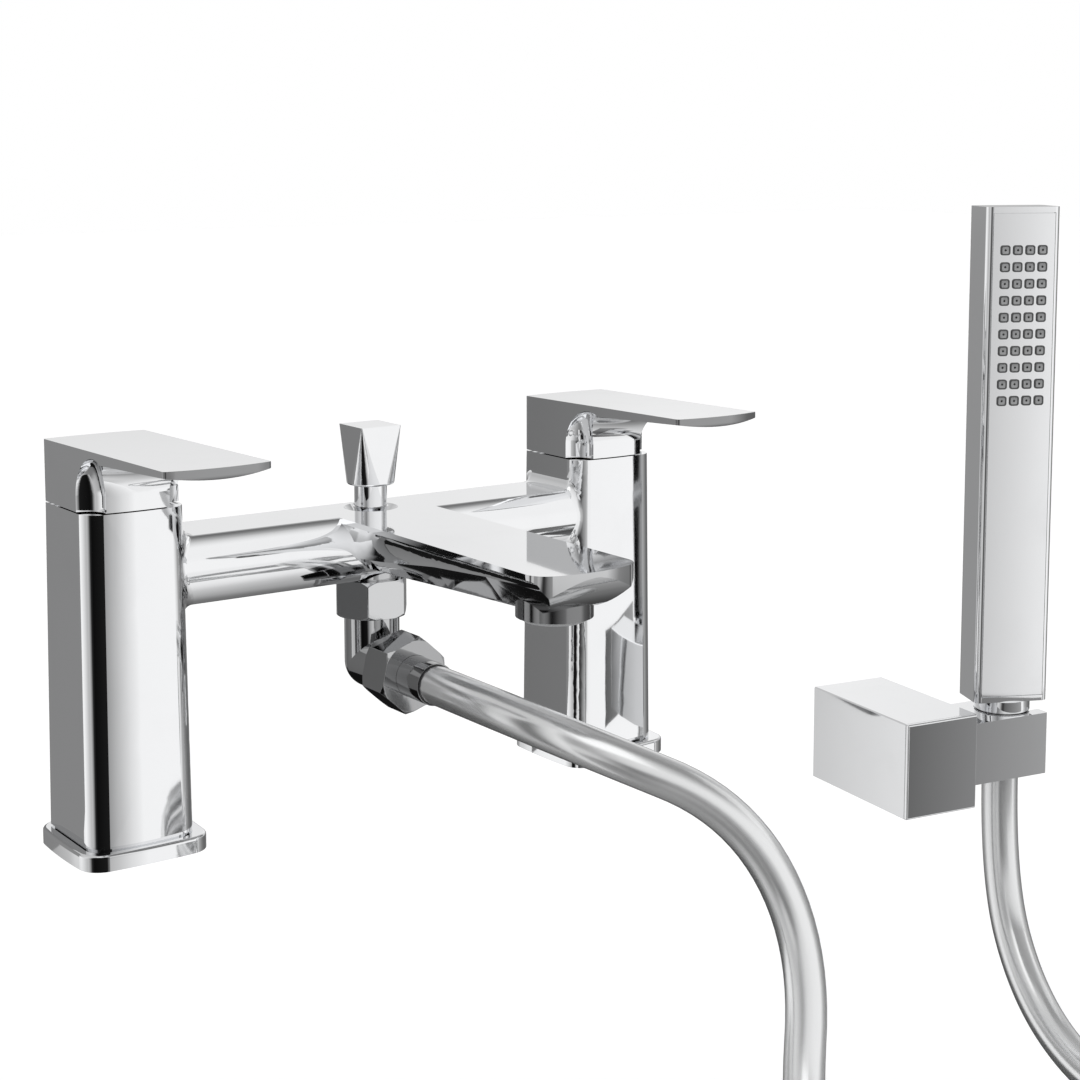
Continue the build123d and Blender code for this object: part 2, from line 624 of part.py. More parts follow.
def valve_plug():
    """Plug on the stem that closes the way to the shower at rest."""
    return rod(PLUG_RADIUS, PLUG_TOP - PLUG_HEIGHT, PLUG_TOP)


def nipple():
    """Outlet nipple: flange against the bridge, stub into the chamber and thread core below."""
    body = rod(NIPPLE_RADIUS, UPPER_NUT_BOTTOM + NIPPLE_STOP, NIPPLE_INNER_TOP)
    return body - rod(NIPPLE_BORE_RADIUS - NIPPLE_STEP, UPPER_NUT_BOTTOM, NIPPLE_INNER_TOP + OVERRUN)


def upper_nut():
    """Union nut that holds the elbow to the nipple."""
    nut = hex_nut(NUT_FLATS, UPPER_NUT_TOP - UPPER_NUT_BOTTOM, UPPER_NUT_TURN, ELBOW_RADIUS)
    return Pos(0, 0, UPPER_NUT_BOTTOM) * nut


def elbow():
    """Right-angle elbow: spigot in the upper nut, bend and forward spigot."""
    radius = ELBOW_RADIUS
    upright = rod(radius, OUTLET_HEIGHT, UPPER_NUT_BOTTOM)
    spigot = rod(radius - RUNNING_CLEARANCE, UPPER_NUT_BOTTOM, UPPER_NUT_BOTTOM + NIPPLE_STOP)
    lying = Cylinder(radius, ELBOW_REACH, align=(Align.CENTER, Align.CENTER, Align.MIN))
    lying = Pos(0, 0, OUTLET_HEIGHT) * Rot(90, 0, 0) * lying
    body = upright + lying + Pos(0, 0, OUTLET_HEIGHT) * Sphere(radius)
    bore = rod(ELBOW_BORE_RADIUS, OUTLET_HEIGHT, UPPER_NUT_BOTTOM + NIPPLE_STOP + OVERRUN)
    way = Cylinder(ELBOW_BORE_RADIUS, ELBOW_REACH + OVERRUN, align=(Align.CENTER, Align.CENTER, Align.MIN))
    body += spigot
    body -= bore + Pos(0, 0, OUTLET_HEIGHT) * Sphere(ELBOW_BORE_RADIUS)
    return body - Pos(0, 0, OUTLET_HEIGHT) * Rot(90, 0, 0) * way


def forward(shape, start):
    """Turn an upright piece to point to -Y on the outlet axis, from a distance ahead of X = 0."""
    return Pos(0, -start, OUTLET_HEIGHT) * Rot(90, 0, 0) * shape


def hose_nut():
    """Nut that holds the hose to the elbow."""
    return forward(hex_nut(NUT_FLATS, HOSE_NUT_LENGTH, HOSE_NUT_TURN, FERRULE_RADIUS), HOSE_NUT_BACK)


def ferrule():
    """Crimped sleeve at the start of the hose, with its tail against the elbow."""
    length = FERRULE_END - ELBOW_REACH
    body = rod(FERRULE_RADIUS, 0, length)
    body -= rod(HOSE_BORE_RADIUS, -OVERRUN, length + OVERRUN)
    return forward(body, ELBOW_REACH)


def seal_ring():
    """Black ring between the ferrule and the hose."""
    ring = rod(SEAL_RING_RADIUS, 0, SEAL_RING_LENGTH) - rod(HOSE_BORE_RADIUS, -OVERRUN, OVERRUN)
    return forward(ring, FERRULE_END)


def aerator_housing():
    """Ring screwed up into the spout's mouth."""
    ring = rod(AERATOR_RADIUS, AERATOR_BOTTOM, AERATOR_TOP)
    ring -= rod(AERATOR_INSERT_RADIUS, AERATOR_BOTTOM - OVERRUN, AERATOR_TOP + OVERRUN)
    return Pos(0, -AERATOR_PLACE, 0) * ring


def aerator_insert():
    """Insert that mixes air into the water, with a ring of drip holes."""
    insert = rod(AERATOR_INSERT_RADIUS, AERATOR_BOTTOM - AERATOR_LIP, AERATOR_TOP - AERATOR_LIP)
    hole = rod(AERATOR_HOLE_RADIUS, AERATOR_BOTTOM - AERATOR_LIP - OVERRUN, AERATOR_TOP)
    for index in range(AERATOR_HOLES):
        turn = 360.0 * index / AERATOR_HOLES
        insert -= Rot(0, 0, turn) * Pos(AERATOR_INSERT_RADIUS * AERATOR_RING_SHARE, 0, 0) * hole
    return Pos(0, -AERATOR_PLACE, 0) * insert


def bracket_place():
    """The turned frame of the wall bracket."""
    return Pos(BRACKET_AXIS[0], BRACKET_AXIS[1], 0) * Rot(0, 0, BRACKET_YAW)


def block_cover():
    """Hollow cover of the wall bracket."""
    cap = BLOCK_FRONT + BLOCK_CAP
    body = box_between((BLOCK_LEFT, cap, BLOCK_BOTTOM), (BLOCK_RIGHT, BLOCK_BACK, BLOCK_TOP))
    wall = BLOCK_WALL
    hollow = box_between(
        (BLOCK_LEFT + wall, BLOCK_BACK - BLOCK_HOLLOW, BLOCK_BOTTOM + wall),
        (BLOCK_RIGHT - wall, BLOCK_BACK + OVERRUN, BLOCK_TOP - wall),
    )
    body -= hollow
    body = chamfer(body.edges().filter_by(Axis.Y).sort_by_distance((0, 0, 0))[-1:], EDGE_BREAK)
    bore = Cylinder(PIVOT_RADIUS, PIVOT_LENGTH, align=(Align.CENTER, Align.CENTER, Align.MIN))
    body -= Pos(BLOCK_RIGHT + OVERRUN, 0, PIVOT_HEIGHT) * Rot(0, -90, 0) * bore
    grub = rod(GRUB_RADIUS, BLOCK_BOTTOM - OVERRUN, BLOCK_BOTTOM + wall + OVERRUN)
    body -= Pos(BLOCK_MIDDLE, BLOCK_BACK - GRUB_SETBACK, 0) * grub
    return bracket_place() * body


def block_cap():
    """Front cap of the bracket, a thin plate with broken edges."""
    cap = BLOCK_FRONT + BLOCK_CAP
    plate = box_between((BLOCK_LEFT, BLOCK_FRONT, BLOCK_BOTTOM), (BLOCK_RIGHT, cap, BLOCK_TOP))
    plate = chamfer(plate.edges().group_by(Axis.Y)[0], EDGE_BREAK)
    return bracket_place() * plate


def wall_plate():
    """Plate screwed to the wall, with the boss that the cover slips over."""
    wall = BLOCK_WALL + EDGE_BREAK
    plate = box_between(
        (BLOCK_LEFT + wall, BLOCK_BACK - WALL_PLATE_THICKNESS, BLOCK_BOTTOM + wall),
        (BLOCK_RIGHT - wall, BLOCK_BACK, BLOCK_TOP - wall),
    )
    lug = box_between(
        (BLOCK_MIDDLE - LUG_HALF, BLOCK_BACK - LUG_LENGTH, BLOCK_BOTTOM + wall),
        (BLOCK_MIDDLE + LUG_HALF, BLOCK_BACK, BLOCK_BOTTOM + wall + LUG_HEIGHT),
    )
    plate += lug
    for hand in (-1, 1):
        plate -= wall_hole(hand, WALL_SCREW_RADIUS, WALL_PLATE_THICKNESS + OVERRUN)
    grub = rod(GRUB_RADIUS, BLOCK_BOTTOM, BLOCK_BOTTOM + wall + LUG_HEIGHT / 2)
    plate -= Pos(BLOCK_MIDDLE, BLOCK_BACK - GRUB_SETBACK, 0) * grub
    return bracket_place() * plate


def wall_screw_place(hand, past_wall=0.0):
    """Location of one wall screw, its axis along the wall's normal."""
    across = BLOCK_MIDDLE + hand * WALL_SCREW_SPACING / 2
    return Pos(across, BLOCK_BACK + past_wall, PIVOT_HEIGHT + SCREW_RAISE) * Rot(-90, 0, 0)


def wall_hole(hand, radius, length):
    """Round bar along the wall's normal at one wall screw."""
    bar = Cylinder(radius, length, align=(Align.CENTER, Align.CENTER, Align.MAX))
    return wall_screw_place(hand, OVERRUN) * bar


def wall_screw(hand):
    """Pan head wall screw, cut flush at the wall."""
    shank = Cylinder(WALL_SCREW_RADIUS, WALL_PLATE_THICKNESS, align=(Align.CENTER, Align.CENTER, Align.MAX))
    head = Cylinder(WALL_SCREW_HEAD, SCREW_HEAD_HEIGHT, align=(Align.CENTER, Align.CENTER, Align.MAX))
    body = shank + Pos(0, 0, -WALL_PLATE_THICKNESS) * head
    return bracket_place() * wall_screw_place(hand) * body


def block_grub():
    """Grub screw up through the cover into the wall plate's lug."""
    screw = rod(GRUB_RADIUS, BLOCK_BOTTOM, BLOCK_BOTTOM + BLOCK_WALL + EDGE_BREAK + LUG_HEIGHT / 2)
    return bracket_place() * Pos(BLOCK_MIDDLE, BLOCK_BACK - GRUB_SETBACK, 0) * screw


def arm():
    """Swivel arm: conical seat for the handset and the slot that the hose slips through."""
    low = (BLOCK_RIGHT + ARM_GAP, -ARM_HALF_DEPTH, ARM_BOTTOM)
    body = box_between(low, (ARM_END, ARM_HALF_DEPTH, ARM_TOP))
    body = chamfer(body.edges().filter_by(Axis.Z), EDGE_BREAK)
    body -= cone(SEAT_BOTTOM_RADIUS, SEAT_TOP_RADIUS, ARM_BOTTOM, ARM_TOP)
    half = SLOT_WIDTH / 2
    body -= box_between((0, -half, ARM_BOTTOM - OVERRUN), (ARM_END + OVERRUN, half, ARM_TOP + OVERRUN))
    bore = Cylinder(PIVOT_PIN_RADIUS, ARM_PIN_LENGTH, align=(Align.CENTER, Align.CENTER, Align.MIN))
    body -= Pos(BLOCK_RIGHT, 0, PIVOT_HEIGHT) * Rot(0, 90, 0) * bore
    return bracket_place() * body


def pivot_pin():
    """Pin fixed in the arm that turns in the bracket."""
    length = PIVOT_LENGTH - OVERRUN - EDGE_BREAK + ARM_PIN_LENGTH
    pin = Cylinder(PIVOT_PIN_RADIUS, length, align=(Align.CENTER, Align.CENTER, Align.MAX))
    return bracket_place() * Pos(BLOCK_RIGHT + ARM_PIN_LENGTH, 0, PIVOT_HEIGHT) * Rot(0, 90, 0) * pin


def handset_place():
    """The frame of the handset, turned in its seat."""
    return Pos(BRACKET_AXIS[0], BRACKET_AXIS[1], 0) * Rot(0, 0, HANDSET_TURN)


def handset_body():
    """Slim rectangular handset with rounded long edges and the pocket of its face plate."""
    body = box_between(
        (-HANDSET_HALF_WIDTH, -HANDSET_FRONT, HANDSET_BOTTOM),
        (HANDSET_HALF_WIDTH, HANDSET_BACK, HANDSET_TOP),
    )
    body = fillet(body.edges().filter_by(Axis.Z), HANDSET_CORNER)
    body -= face_block(0.0, OVERRUN)
    body += rod(NECK_RADIUS, NECK_BOTTOM, HANDSET_BOTTOM)
    return handset_place() * body


def face_block(shrink, proud):
    """Block that fills the pocket of the face plate."""
    inset = FACE_INSET + shrink
    return box_between(
        (-HANDSET_HALF_WIDTH + inset, -HANDSET_FRONT - proud, HANDSET_BOTTOM + inset),
        (HANDSET_HALF_WIDTH - inset, -HANDSET_FRONT + FACE_DEPTH, HANDSET_TOP - inset),
    )


def face_plate():
    """Face plate in its pocket."""
    plate = face_block(FACE_CLEARANCE, 0.0)
    return handset_place() * plate


def nozzles():
    """Rubber nozzle field: rounded square pads, each with its jet hole, on one sheet."""
    pads = []
    for row in range(NOZZLE_ROWS):
        for column in range(NOZZLE_COLUMNS):
            across = (column - (NOZZLE_COLUMNS - 1) / 2) * NOZZLE_COLUMN_STEP
            height = NOZZLE_TOP - row * NOZZLE_ROW_STEP
            low = (across - NOZZLE_SIDE / 2, -HANDSET_FRONT - NOZZLE_RISE, height - NOZZLE_SIDE / 2)
            high = (across + NOZZLE_SIDE / 2, -HANDSET_FRONT, height + NOZZLE_SIDE / 2)
            pads.append(box_between(low, high))
    return handset_place() * Compound(pads)


def cone_nut():
    """Conical nut that seats in the arm and holds the hose to the handset."""
    rise = CONE_TOP - ARM_BOTTOM
    slope = (SEAT_TOP_RADIUS - SEAT_BOTTOM_RADIUS) / (ARM_TOP - ARM_BOTTOM)
    top = SEAT_BOTTOM_RADIUS + slope * rise - CONE_CLEARANCE
    low = SEAT_BOTTOM_RADIUS - CONE_CLEARANCE + slope * (CONE_BOTTOM - ARM_BOTTOM)
    body = cone(low, top, CONE_BOTTOM, CONE_TOP)
    body += rod(NECK_RADIUS - EDGE_BREAK, CONE_TOP, NECK_BOTTOM)
    tail_space = HOSE_TAIL_RADIUS + RUNNING_CLEARANCE
    body -= rod(tail_space, CONE_BOTTOM - OVERRUN, HOSE_TAIL_TOP + RUNNING_CLEARANCE)
    return bracket_place() * body


def hose_tail():
    """Hose end held in the conical nut, on which the handset turns."""
    body = rod(HOSE_TAIL_RADIUS, RISER_TOP, HOSE_TAIL_TOP)
    body -= rod(TAIL_BORE_RADIUS, RISER_TOP - OVERRUN, HOSE_TAIL_TOP + OVERRUN)
    return bracket_place() * body


def hose_tube(name, points):
    """Plain hose along straight runs with tangent arcs; prints its bend radii and length."""
    spots = [Vector(*point) for point in points]
    runs = [(after - before).length for before, after in zip(spots, spots[1:])]
    radii = []
    for index in range(1, len(spots) - 1):
        turn = (spots[index] - spots[index - 1]).get_angle(spots[index + 1] - spots[index])
        shorter = min(runs[index - 1], runs[index])
        radii.append(RUN_SHARE * shorter / math.tan(math.radians(turn) / 2))
    path = FilletPolyline(*spots, radius=radii)
    print(name, "length", round(path.length, 1), "radii", [round(radius, 1) for radius in radii])
    start = Plane(origin=spots[0], z_dir=spots[1] - spots[0])
    tube = sweep(start * Circle(HOSE_DIAMETER / 2), path=path)
    section = math.pi * (HOSE_DIAMETER / 2) ** 2
    print(name, "volume over section times length", round(tube.volume / (section * path.length), 4))
    return tube


def coil_place(angle, climb):
    """Point of the coil's loops at an angle in degrees from their start, at a height gained."""
    turned = math.radians(COIL_ENTRY_DEGREES + angle)
    return Vector(
        COIL_CENTRE[0] + COIL_RADIUS * math.cos(turned),
        COIL_CENTRE[1] + COIL_RADIUS * math.sin(turned),
        FLOOR + HOSE_DIAMETER / 2 + climb,
    )


def coil_rise(angle):
    """Height gained and its slope per degree: level at both ends, one pitch a turn between."""
    steep = COIL_PITCH / 360.0
    if angle < COIL_EASE_DEGREES:
        return steep * angle * angle / (2 * COIL_EASE_DEGREES), steep * angle / COIL_EASE_DEGREES
    left = COIL_ANGLE - angle
    if left < COIL_EASE_DEGREES:
        top = steep * (COIL_ANGLE - COIL_EASE_DEGREES)
        return top - steep * left * left / (2 * COIL_EASE_DEGREES), steep * left / COIL_EASE_DEGREES
    return steep * (angle - COIL_EASE_DEGREES / 2), steep


def coil_point(angle):
    """Point of the coil's centreline."""
    return coil_place(angle, coil_rise(angle)[0])


def coil_heading(angle):
    """Unit direction of the coil's centreline."""
    turned = math.radians(COIL_ENTRY_DEGREES + angle)
    climb = coil_rise(angle)[1] / math.radians(COIL_RADIUS)
    return Vector(-math.sin(turned), math.cos(turned), climb).normalized()


def biarc(start, start_way, end, end_way):
    """Two tangent arcs from a point and direction to another point and direction."""
    across = end - start
    ways = start_way + end_way
    a = 2 * (1 - start_way.dot(end_way))
    b = 2 * across.dot(ways)
    c = -across.dot(across)
    reach = (-b + math.sqrt(b * b - 4 * a * c)) / (2 * a)
    joint = (start + start_way * reach + end - end_way * reach) * 0.5
    way = (joint - start).normalized()
    joint_way = (way * (2 * way.dot(start_way)) - start_way).normalized()
    return [TangentArc(start, joint, tangent=start_way), TangentArc(joint, end, tangent=joint_way)]


def coil_stops():
    """Angles where the coil's biarcs meet."""
    inner = COIL_ANGLE - 2 * COIL_EASE_DEGREES
    count = math.ceil(inner / COIL_STEP_DEGREES)
    stops = [COIL_EASE_DEGREES + inner * index / count for index in range(count + 1)]
    return [0.0, *stops, COIL_ANGLE]


def coil():
    """The stored length of hose: loops lying on each other, one tube with straight ends."""
    start = coil_start()
    end = coil_end()
    edges = [Line(start, coil_point(0))]
    stops = coil_stops()
    for first, last in zip(stops, stops[1:]):
        edges += biarc(coil_point(first), coil_heading(first), coil_point(last), coil_heading(last))
    edges.append(Line(coil_point(COIL_ANGLE), end))
    path = Wire(edges)
    plane = Plane(origin=start, z_dir=coil_heading(0))
    tube = sweep(plane * Circle(HOSE_DIAMETER / 2), path=path)
    section = math.pi * (HOSE_DIAMETER / 2) ** 2
    ratio = tube.volume / (section * path.length)
    print("coil length", round(path.length, 1), "volume over section times length", round(ratio, 4))
    spots = [coil_point(COIL_ANGLE * index / GAP_SAMPLES) for index in range(GAP_SAMPLES + 1)]
    spots = [start, *spots, end]
    half_turn = int(GAP_SAMPLES * 180.0 / COIL_ANGLE)
    gap = min(
        (spots[i] - spots[j]).length for i in range(len(spots)) for j in range(i + half_turn, len(spots))
    )
    print("coil least gap to itself", round(gap - HOSE_DIAMETER, 2))
    return tube


def coil_start():
    """Where the coil's straight lead begins."""
    return coil_point(0) - coil_heading(0) * HOSE_DIAMETER


def coil_end():
    """Where the coil's straight tail ends."""
    return coil_point(COIL_ANGLE) + coil_heading(COIL_ANGLE) * HOSE_DIAMETER


def front_points():
    """Route of the hose from the outlet down to the coil."""
    entry = coil_start()
    return [HOSE_EXIT, *HOSE_FRONT_POINTS, tuple(entry - coil_heading(0) * HOSE_LAST_RUN), tuple(entry)]


def riser_points():
    """Route of the hose from the coil up to the handset."""
    leave = coil_end()
    lift = leave + coil_heading(COIL_ANGLE) * HOSE_LIFT_RUN
    return [tuple(leave), tuple(lift), *HOSE_RISER_POINTS, (BRACKET_AXIS[0], BRACKET_AXIS[1], RISER_TOP)]


def build():
    """Every node of the mixer by name."""
    nodes = {"body_casting": casting()}
    for name, side in SIDES.items():
        nodes[name + "_base_plate"] = base_plate(side)
        nodes[name + "_cartridge"] = pillar_place(side) * cartridge()
        nodes[name + "_fixed_disc"] = pillar_place(side) * fixed_disc()
        nodes[name + "_moving_disc"] = pillar_place(side) * moving_disc()
        nodes[name + "_spindle"] = pillar_place(side) * spindle()
        nodes[name + "_handle"] = pillar_place(side) * lever()
        nodes[name + "_handle_screw"] = pillar_place(side) * grub_screw()
    nodes["diverter_bonnet"] = bonnet()
    nodes["diverter_knob"] = knob()
    nodes["diverter_stem"] = knob_stem()
    nodes["diverter_plug"] = valve_plug()
    nodes["outlet_nipple"] = nipple()
    nodes["outlet_nut"] = upper_nut()
    nodes["outlet_elbow"] = elbow()
    nodes["hose_nut"] = hose_nut()
    nodes["hose_ferrule"] = ferrule()
    nodes["hose_seal_ring"] = seal_ring()
    nodes["aerator_housing"] = aerator_housing()
    nodes["aerator_insert"] = aerator_insert()
    nodes["hose_front"] = hose_tube("hose front", front_points())
    nodes["hose_coil"] = coil()
    nodes["hose_riser"] = hose_tube("hose riser", riser_points())
    nodes["bracket_cover"] = block_cover()
    nodes["bracket_cap"] = block_cap()
    nodes["bracket_wall_plate"] = wall_plate()
    nodes["bracket_wall_screw_left"] = wall_screw(-1)
    nodes["bracket_wall_screw_right"] = wall_screw(1)
    nodes["bracket_grub_screw"] = block_grub()
    nodes["bracket_arm"] = arm()
    nodes["bracket_pivot_pin"] = pivot_pin()
    nodes["handset_body"] = handset_body()
    nodes["handset_face_plate"] = face_plate()
    nodes["handset_nozzles"] = nozzles()
    nodes["handset_cone_nut"] = cone_nut()
    nodes["hose_tail"] = hose_tail()
    return nodes


if __name__ == "__main__":
    os.makedirs("parts", exist_ok=True)
    for node, shape in build().items():
        export_step(shape, os.path.join("parts", node + ".step"))
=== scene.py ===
"""Looks of a chrome bath shower mixer: finishes, hose, handset nozzles and a pale studio."""

import math

import bmesh
import bpy
from bpy.props import FloatProperty, FloatVectorProperty, IntProperty, PointerProperty
from bpy.types import Operator, Panel, PropertyGroup
from mathutils import Matrix, Vector


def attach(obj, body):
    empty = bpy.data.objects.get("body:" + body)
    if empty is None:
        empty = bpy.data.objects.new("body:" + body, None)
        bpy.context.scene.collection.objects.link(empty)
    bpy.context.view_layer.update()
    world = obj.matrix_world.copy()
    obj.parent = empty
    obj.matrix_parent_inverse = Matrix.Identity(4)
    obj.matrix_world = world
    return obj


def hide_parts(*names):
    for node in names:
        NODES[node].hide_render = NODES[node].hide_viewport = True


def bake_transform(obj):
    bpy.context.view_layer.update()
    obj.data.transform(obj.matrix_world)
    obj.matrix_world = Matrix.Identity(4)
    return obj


bl_info = {
    "name": "Bath shower mixer",
    "version": (1, 0, 0),
    "blender": (4, 5, 0),
    "location": "View3D > Sidebar > Mixer",
    "description": "Dresses a chrome bath shower mixer with its hose, handset and wall bracket",
    "category": "Object",
}

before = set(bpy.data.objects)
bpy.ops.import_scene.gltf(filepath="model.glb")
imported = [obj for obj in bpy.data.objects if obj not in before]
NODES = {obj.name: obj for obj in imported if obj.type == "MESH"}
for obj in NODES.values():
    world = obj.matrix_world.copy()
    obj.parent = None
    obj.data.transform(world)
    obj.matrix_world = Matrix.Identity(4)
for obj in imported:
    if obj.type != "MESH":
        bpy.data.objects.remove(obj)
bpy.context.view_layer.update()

# The sRGB curve, and the share of the light that chrome gives back
CURVE_OFFSET = 0.055
CURVE_POWER = 2.4
CHROME_SHARE = 0.87

# How finely the hose and the nozzle pads are divided, and the angle over which the coil starts to rise
COIL_EASE = math.radians(30.0)
COIL_POINTS_PER_TURN = 16
LINE_STEPS = 10
RISER_STEPS = 40
HOSE_ROUND_STEPS = 6
TUBE_SIDES = 32
PAD_POINTS = 16

# The band beside each end of a tube, as a share of the step between rings, keeps the cap out of the shading
END_BAND_SHARE = 0.02

# How the riser runs on inside its neck: at what share of its size, and for how many rings
SLIP_SHARE = 0.999
SLIP_RINGS = 2

# Soft edges on blocks and plates: their width in metres, and how the modifiers make them
BLOCK_EDGE = 0.0002
PLATE_EDGE = 0.0001
EDGE_ANGLE = math.radians(35.0)
EDGE_SEGMENTS = 2
WELD_DISTANCE = 1e-6
FULL_WEIGHT = 100

# The camera's sensor in millimetres, its near limit and half the floor's side in metres
SENSOR_WIDTH = 36.0
NEAR_CLIP = 0.01
FLOOR_REACH = 6.0

# How much rougher chrome is on its marks and its wiped streaks, as shares of its polish
MARK_SHARE = 0.7
WIPE_SHARE = 0.6

# Heights of surface marks in metres, and the radians of turning marks in a metre
RIPPLE_HEIGHT = 0.0012
GRAIN_HEIGHT = 0.0001
TURNING_WAVES = 9000.0

# Route of the hose in metres, from the outlet down to the coil and from the coil up to the handset
HOSE_EXIT = (0.0, -0.0403, 0.0457)
FRONT_ROUTE = [
    HOSE_EXIT,
    (0.0, -0.0705, 0.0457),
    (0.015, -0.105, 0.038),
    (0.0505, -0.1295, 0.020),
    (0.0665, -0.1445, -0.021),
    (0.049, -0.160, -0.070),
    (0.021, -0.205, -0.1005),
    (0.024, -0.246, -0.117),
]
RISER_ROUTE = [
    (0.185, -0.154, -0.094),
    (0.1925, -0.119, -0.078),
    (0.1997, -0.0966, -0.0427),
    (0.1997, -0.0966, -0.0035),
]


class HoseSettings(PropertyGroup):
    """Sizes and colour of the shower hose."""

    diameter: FloatProperty(
        name="Diameter", description="Outside diameter of the hose", default=0.0126, unit="LENGTH"
    )
    coil_radius: FloatProperty(
        name="Coil radius", description="Middle radius of the coil's loops", default=0.063, unit="LENGTH"
    )
    coil_pitch: FloatProperty(
        name="Coil pitch", description="Height that the coil gains in a turn", default=0.0142,
        unit="LENGTH",
    )
    coil_centre: FloatVectorProperty(
        name="Coil centre", description="Middle of the coil on the floor", size=2,
        default=(0.1255, -0.2458), unit="LENGTH",
    )
    coil_entry: FloatProperty(
        name="Coil entry", description="Angle where the loops start", default=math.radians(246.6),
        unit="ROTATION",
    )
    coil_exit: FloatProperty(
        name="Coil exit", description="Angle where the loops end", default=math.radians(10.9),
        unit="ROTATION",
    )
    coil_turns: IntProperty(name="Coil turns", description="Whole turns from entry to exit", default=3)
    lead_run: FloatProperty(
        name="Run into the coil", description="Straight run on the floor into the coil", default=0.044,
        unit="LENGTH",
    )
    lift_run: FloatProperty(
        name="Run out of the coil", description="Straight run out of the coil", default=0.030,
        unit="LENGTH",
    )
    neck: FloatProperty(
        name="Sliding stretch", description="Stretch under the bracket that follows the handset",
        default=0.030, unit="LENGTH",
    )
    colour: FloatVectorProperty(
        name="Colour", description="Silver of the hose's foil", subtype="COLOR",
        default=(0.86, 0.865, 0.87),
    )


class MetalSettings(PropertyGroup):
    """Colours and polish of the metal finishes."""

    chrome: FloatVectorProperty(
        name="Chrome", description="Colour of the polished chrome", subtype="COLOR",
        default=(0.86, 0.865, 0.875),
    )
    brass: FloatVectorProperty(
        name="Brass", description="Colour of the bare brass inside", subtype="COLOR",
        default=(0.72, 0.55, 0.28),
    )
    zinc: FloatVectorProperty(
        name="Zinc", description="Colour of the plated steel screws", subtype="COLOR",
        default=(0.55, 0.56, 0.58),
    )
    polish: FloatProperty(
        name="Polish", description="Roughness of the polished chrome", default=0.035, min=0.0, max=1.0
    )


class TrimSettings(PropertyGroup):
    """Colours of the parts that aren't metal."""

    rubber: FloatVectorProperty(
        name="Rubber", description="Colour of the seals", subtype="COLOR", default=(0.012, 0.012, 0.013)
    )
    nozzle: FloatVectorProperty(
        name="Nozzle", description="Colour of the rubber nozzles", subtype="COLOR",
        default=(0.42, 0.425, 0.43),
    )
    ceramic: FloatVectorProperty(
        name="Ceramic", description="Colour of the valve discs", subtype="COLOR",
        default=(0.86, 0.85, 0.81),
    )


class NozzleSettings(PropertyGroup):
    """Sizes of the rubber nozzle field on the handset."""

    rows: IntProperty(name="Rows", description="Rows of pads", default=10)
    columns: IntProperty(name="Columns", description="Pads in a row", default=4)
    row_step: FloatProperty(
        name="Row step", description="Height from row to row", default=0.00573, unit="LENGTH", precision=5
    )
    column_step: FloatProperty(
        name="Column step", description="Width from pad to pad", default=0.0045, unit="LENGTH",
        precision=5,
    )
    top: FloatProperty(name="Top row", description="Height of the top row", default=0.1808, unit="LENGTH")
    face_place: FloatProperty(
        name="Face", description="Distance of the face from the handset's axis", default=0.0084,
        unit="LENGTH",
    )
    side: FloatProperty(
        name="Side", description="Side of a pad", default=0.0034, unit="LENGTH", precision=5
    )
    rise: FloatProperty(
        name="Rise", description="Height of a pad's rim", default=0.0005, unit="LENGTH", precision=5
    )
    corner: FloatProperty(
        name="Corner", description="Corner radius of a pad", default=0.0009, unit="LENGTH", precision=5
    )
    rim: FloatProperty(
        name="Rim", description="Width of the rim", default=0.0004, unit="LENGTH", precision=5
    )
    rim_round: FloatProperty(
        name="Rim round", description="Rounding of the rim", default=0.0001, unit="LENGTH", precision=5
    )
    cup_floor: FloatProperty(
        name="Cup floor", description="Height of the floor inside the rim", default=0.0002,
        unit="LENGTH", precision=5,
    )
    jet: FloatProperty(
        name="Jet", description="Radius of the jet hole", default=0.0004, unit="LENGTH", precision=5
    )
    jet_floor: FloatProperty(
        name="Jet floor", description="Height of the bottom of the jet hole", default=0.00004,
        unit="LENGTH", precision=5,
    )
    axis: FloatVectorProperty(
        name="Axis", description="Where the handset's axis stands", size=2, unit="LENGTH",
        default=(0.1997, -0.0966),
    )
    turn: FloatProperty(
        name="Turn", description="Turn of the handset", default=math.radians(-24.0), unit="ROTATION"
    )


class StageSettings(PropertyGroup):
    """Camera, floor and light."""

    camera_place: FloatVectorProperty(
        name="Camera place", description="Where the camera stands", subtype="TRANSLATION",
        default=(-0.346427, -0.591265, 0.222207),
    )
    camera_yaw: FloatProperty(
        name="Camera turn", description="Turn of the view from +Y towards +X", default=0.611949,
        unit="ROTATION",
    )
    camera_pitch: FloatProperty(
        name="Camera tilt", description="How far the view points down", default=0.119305, unit="ROTATION"
    )
    camera_lens: FloatProperty(name="Lens", description="Focal length in millimetres", default=69.689)
    camera_shift: FloatProperty(name="Shift", description="Vertical shift of the view", default=-0.15)
    floor_height: FloatProperty(
        name="Floor height", description="Height of the floor that the hose lies on", default=-0.128,
        unit="LENGTH",
    )
    floor_colour: FloatVectorProperty(
        name="Floor colour", description="Colour of the floor", subtype="COLOR",
        default=(0.93, 0.93, 0.93),
    )
    floor_lift: FloatVectorProperty(
        name="Floor lift", description="What the camera sees added to the lit floor", subtype="COLOR",
        default=(0.30, 0.30, 0.30),
    )
    sky_colour: FloatVectorProperty(
        name="Sky colour", description="Plain light all round", subtype="COLOR",
        default=(0.80, 0.80, 0.80),
    )
    lamp_power: FloatProperty(
        name="Lamp power", description="Power of the main soft lamp", default=2.0, unit="POWER"
    )


def light_of(seen):
    """Light that shows as this share of white after a reflection in chrome."""
    return ((seen + CURVE_OFFSET) / (1 + CURVE_OFFSET)) ** CURVE_POWER / CHROME_SHARE


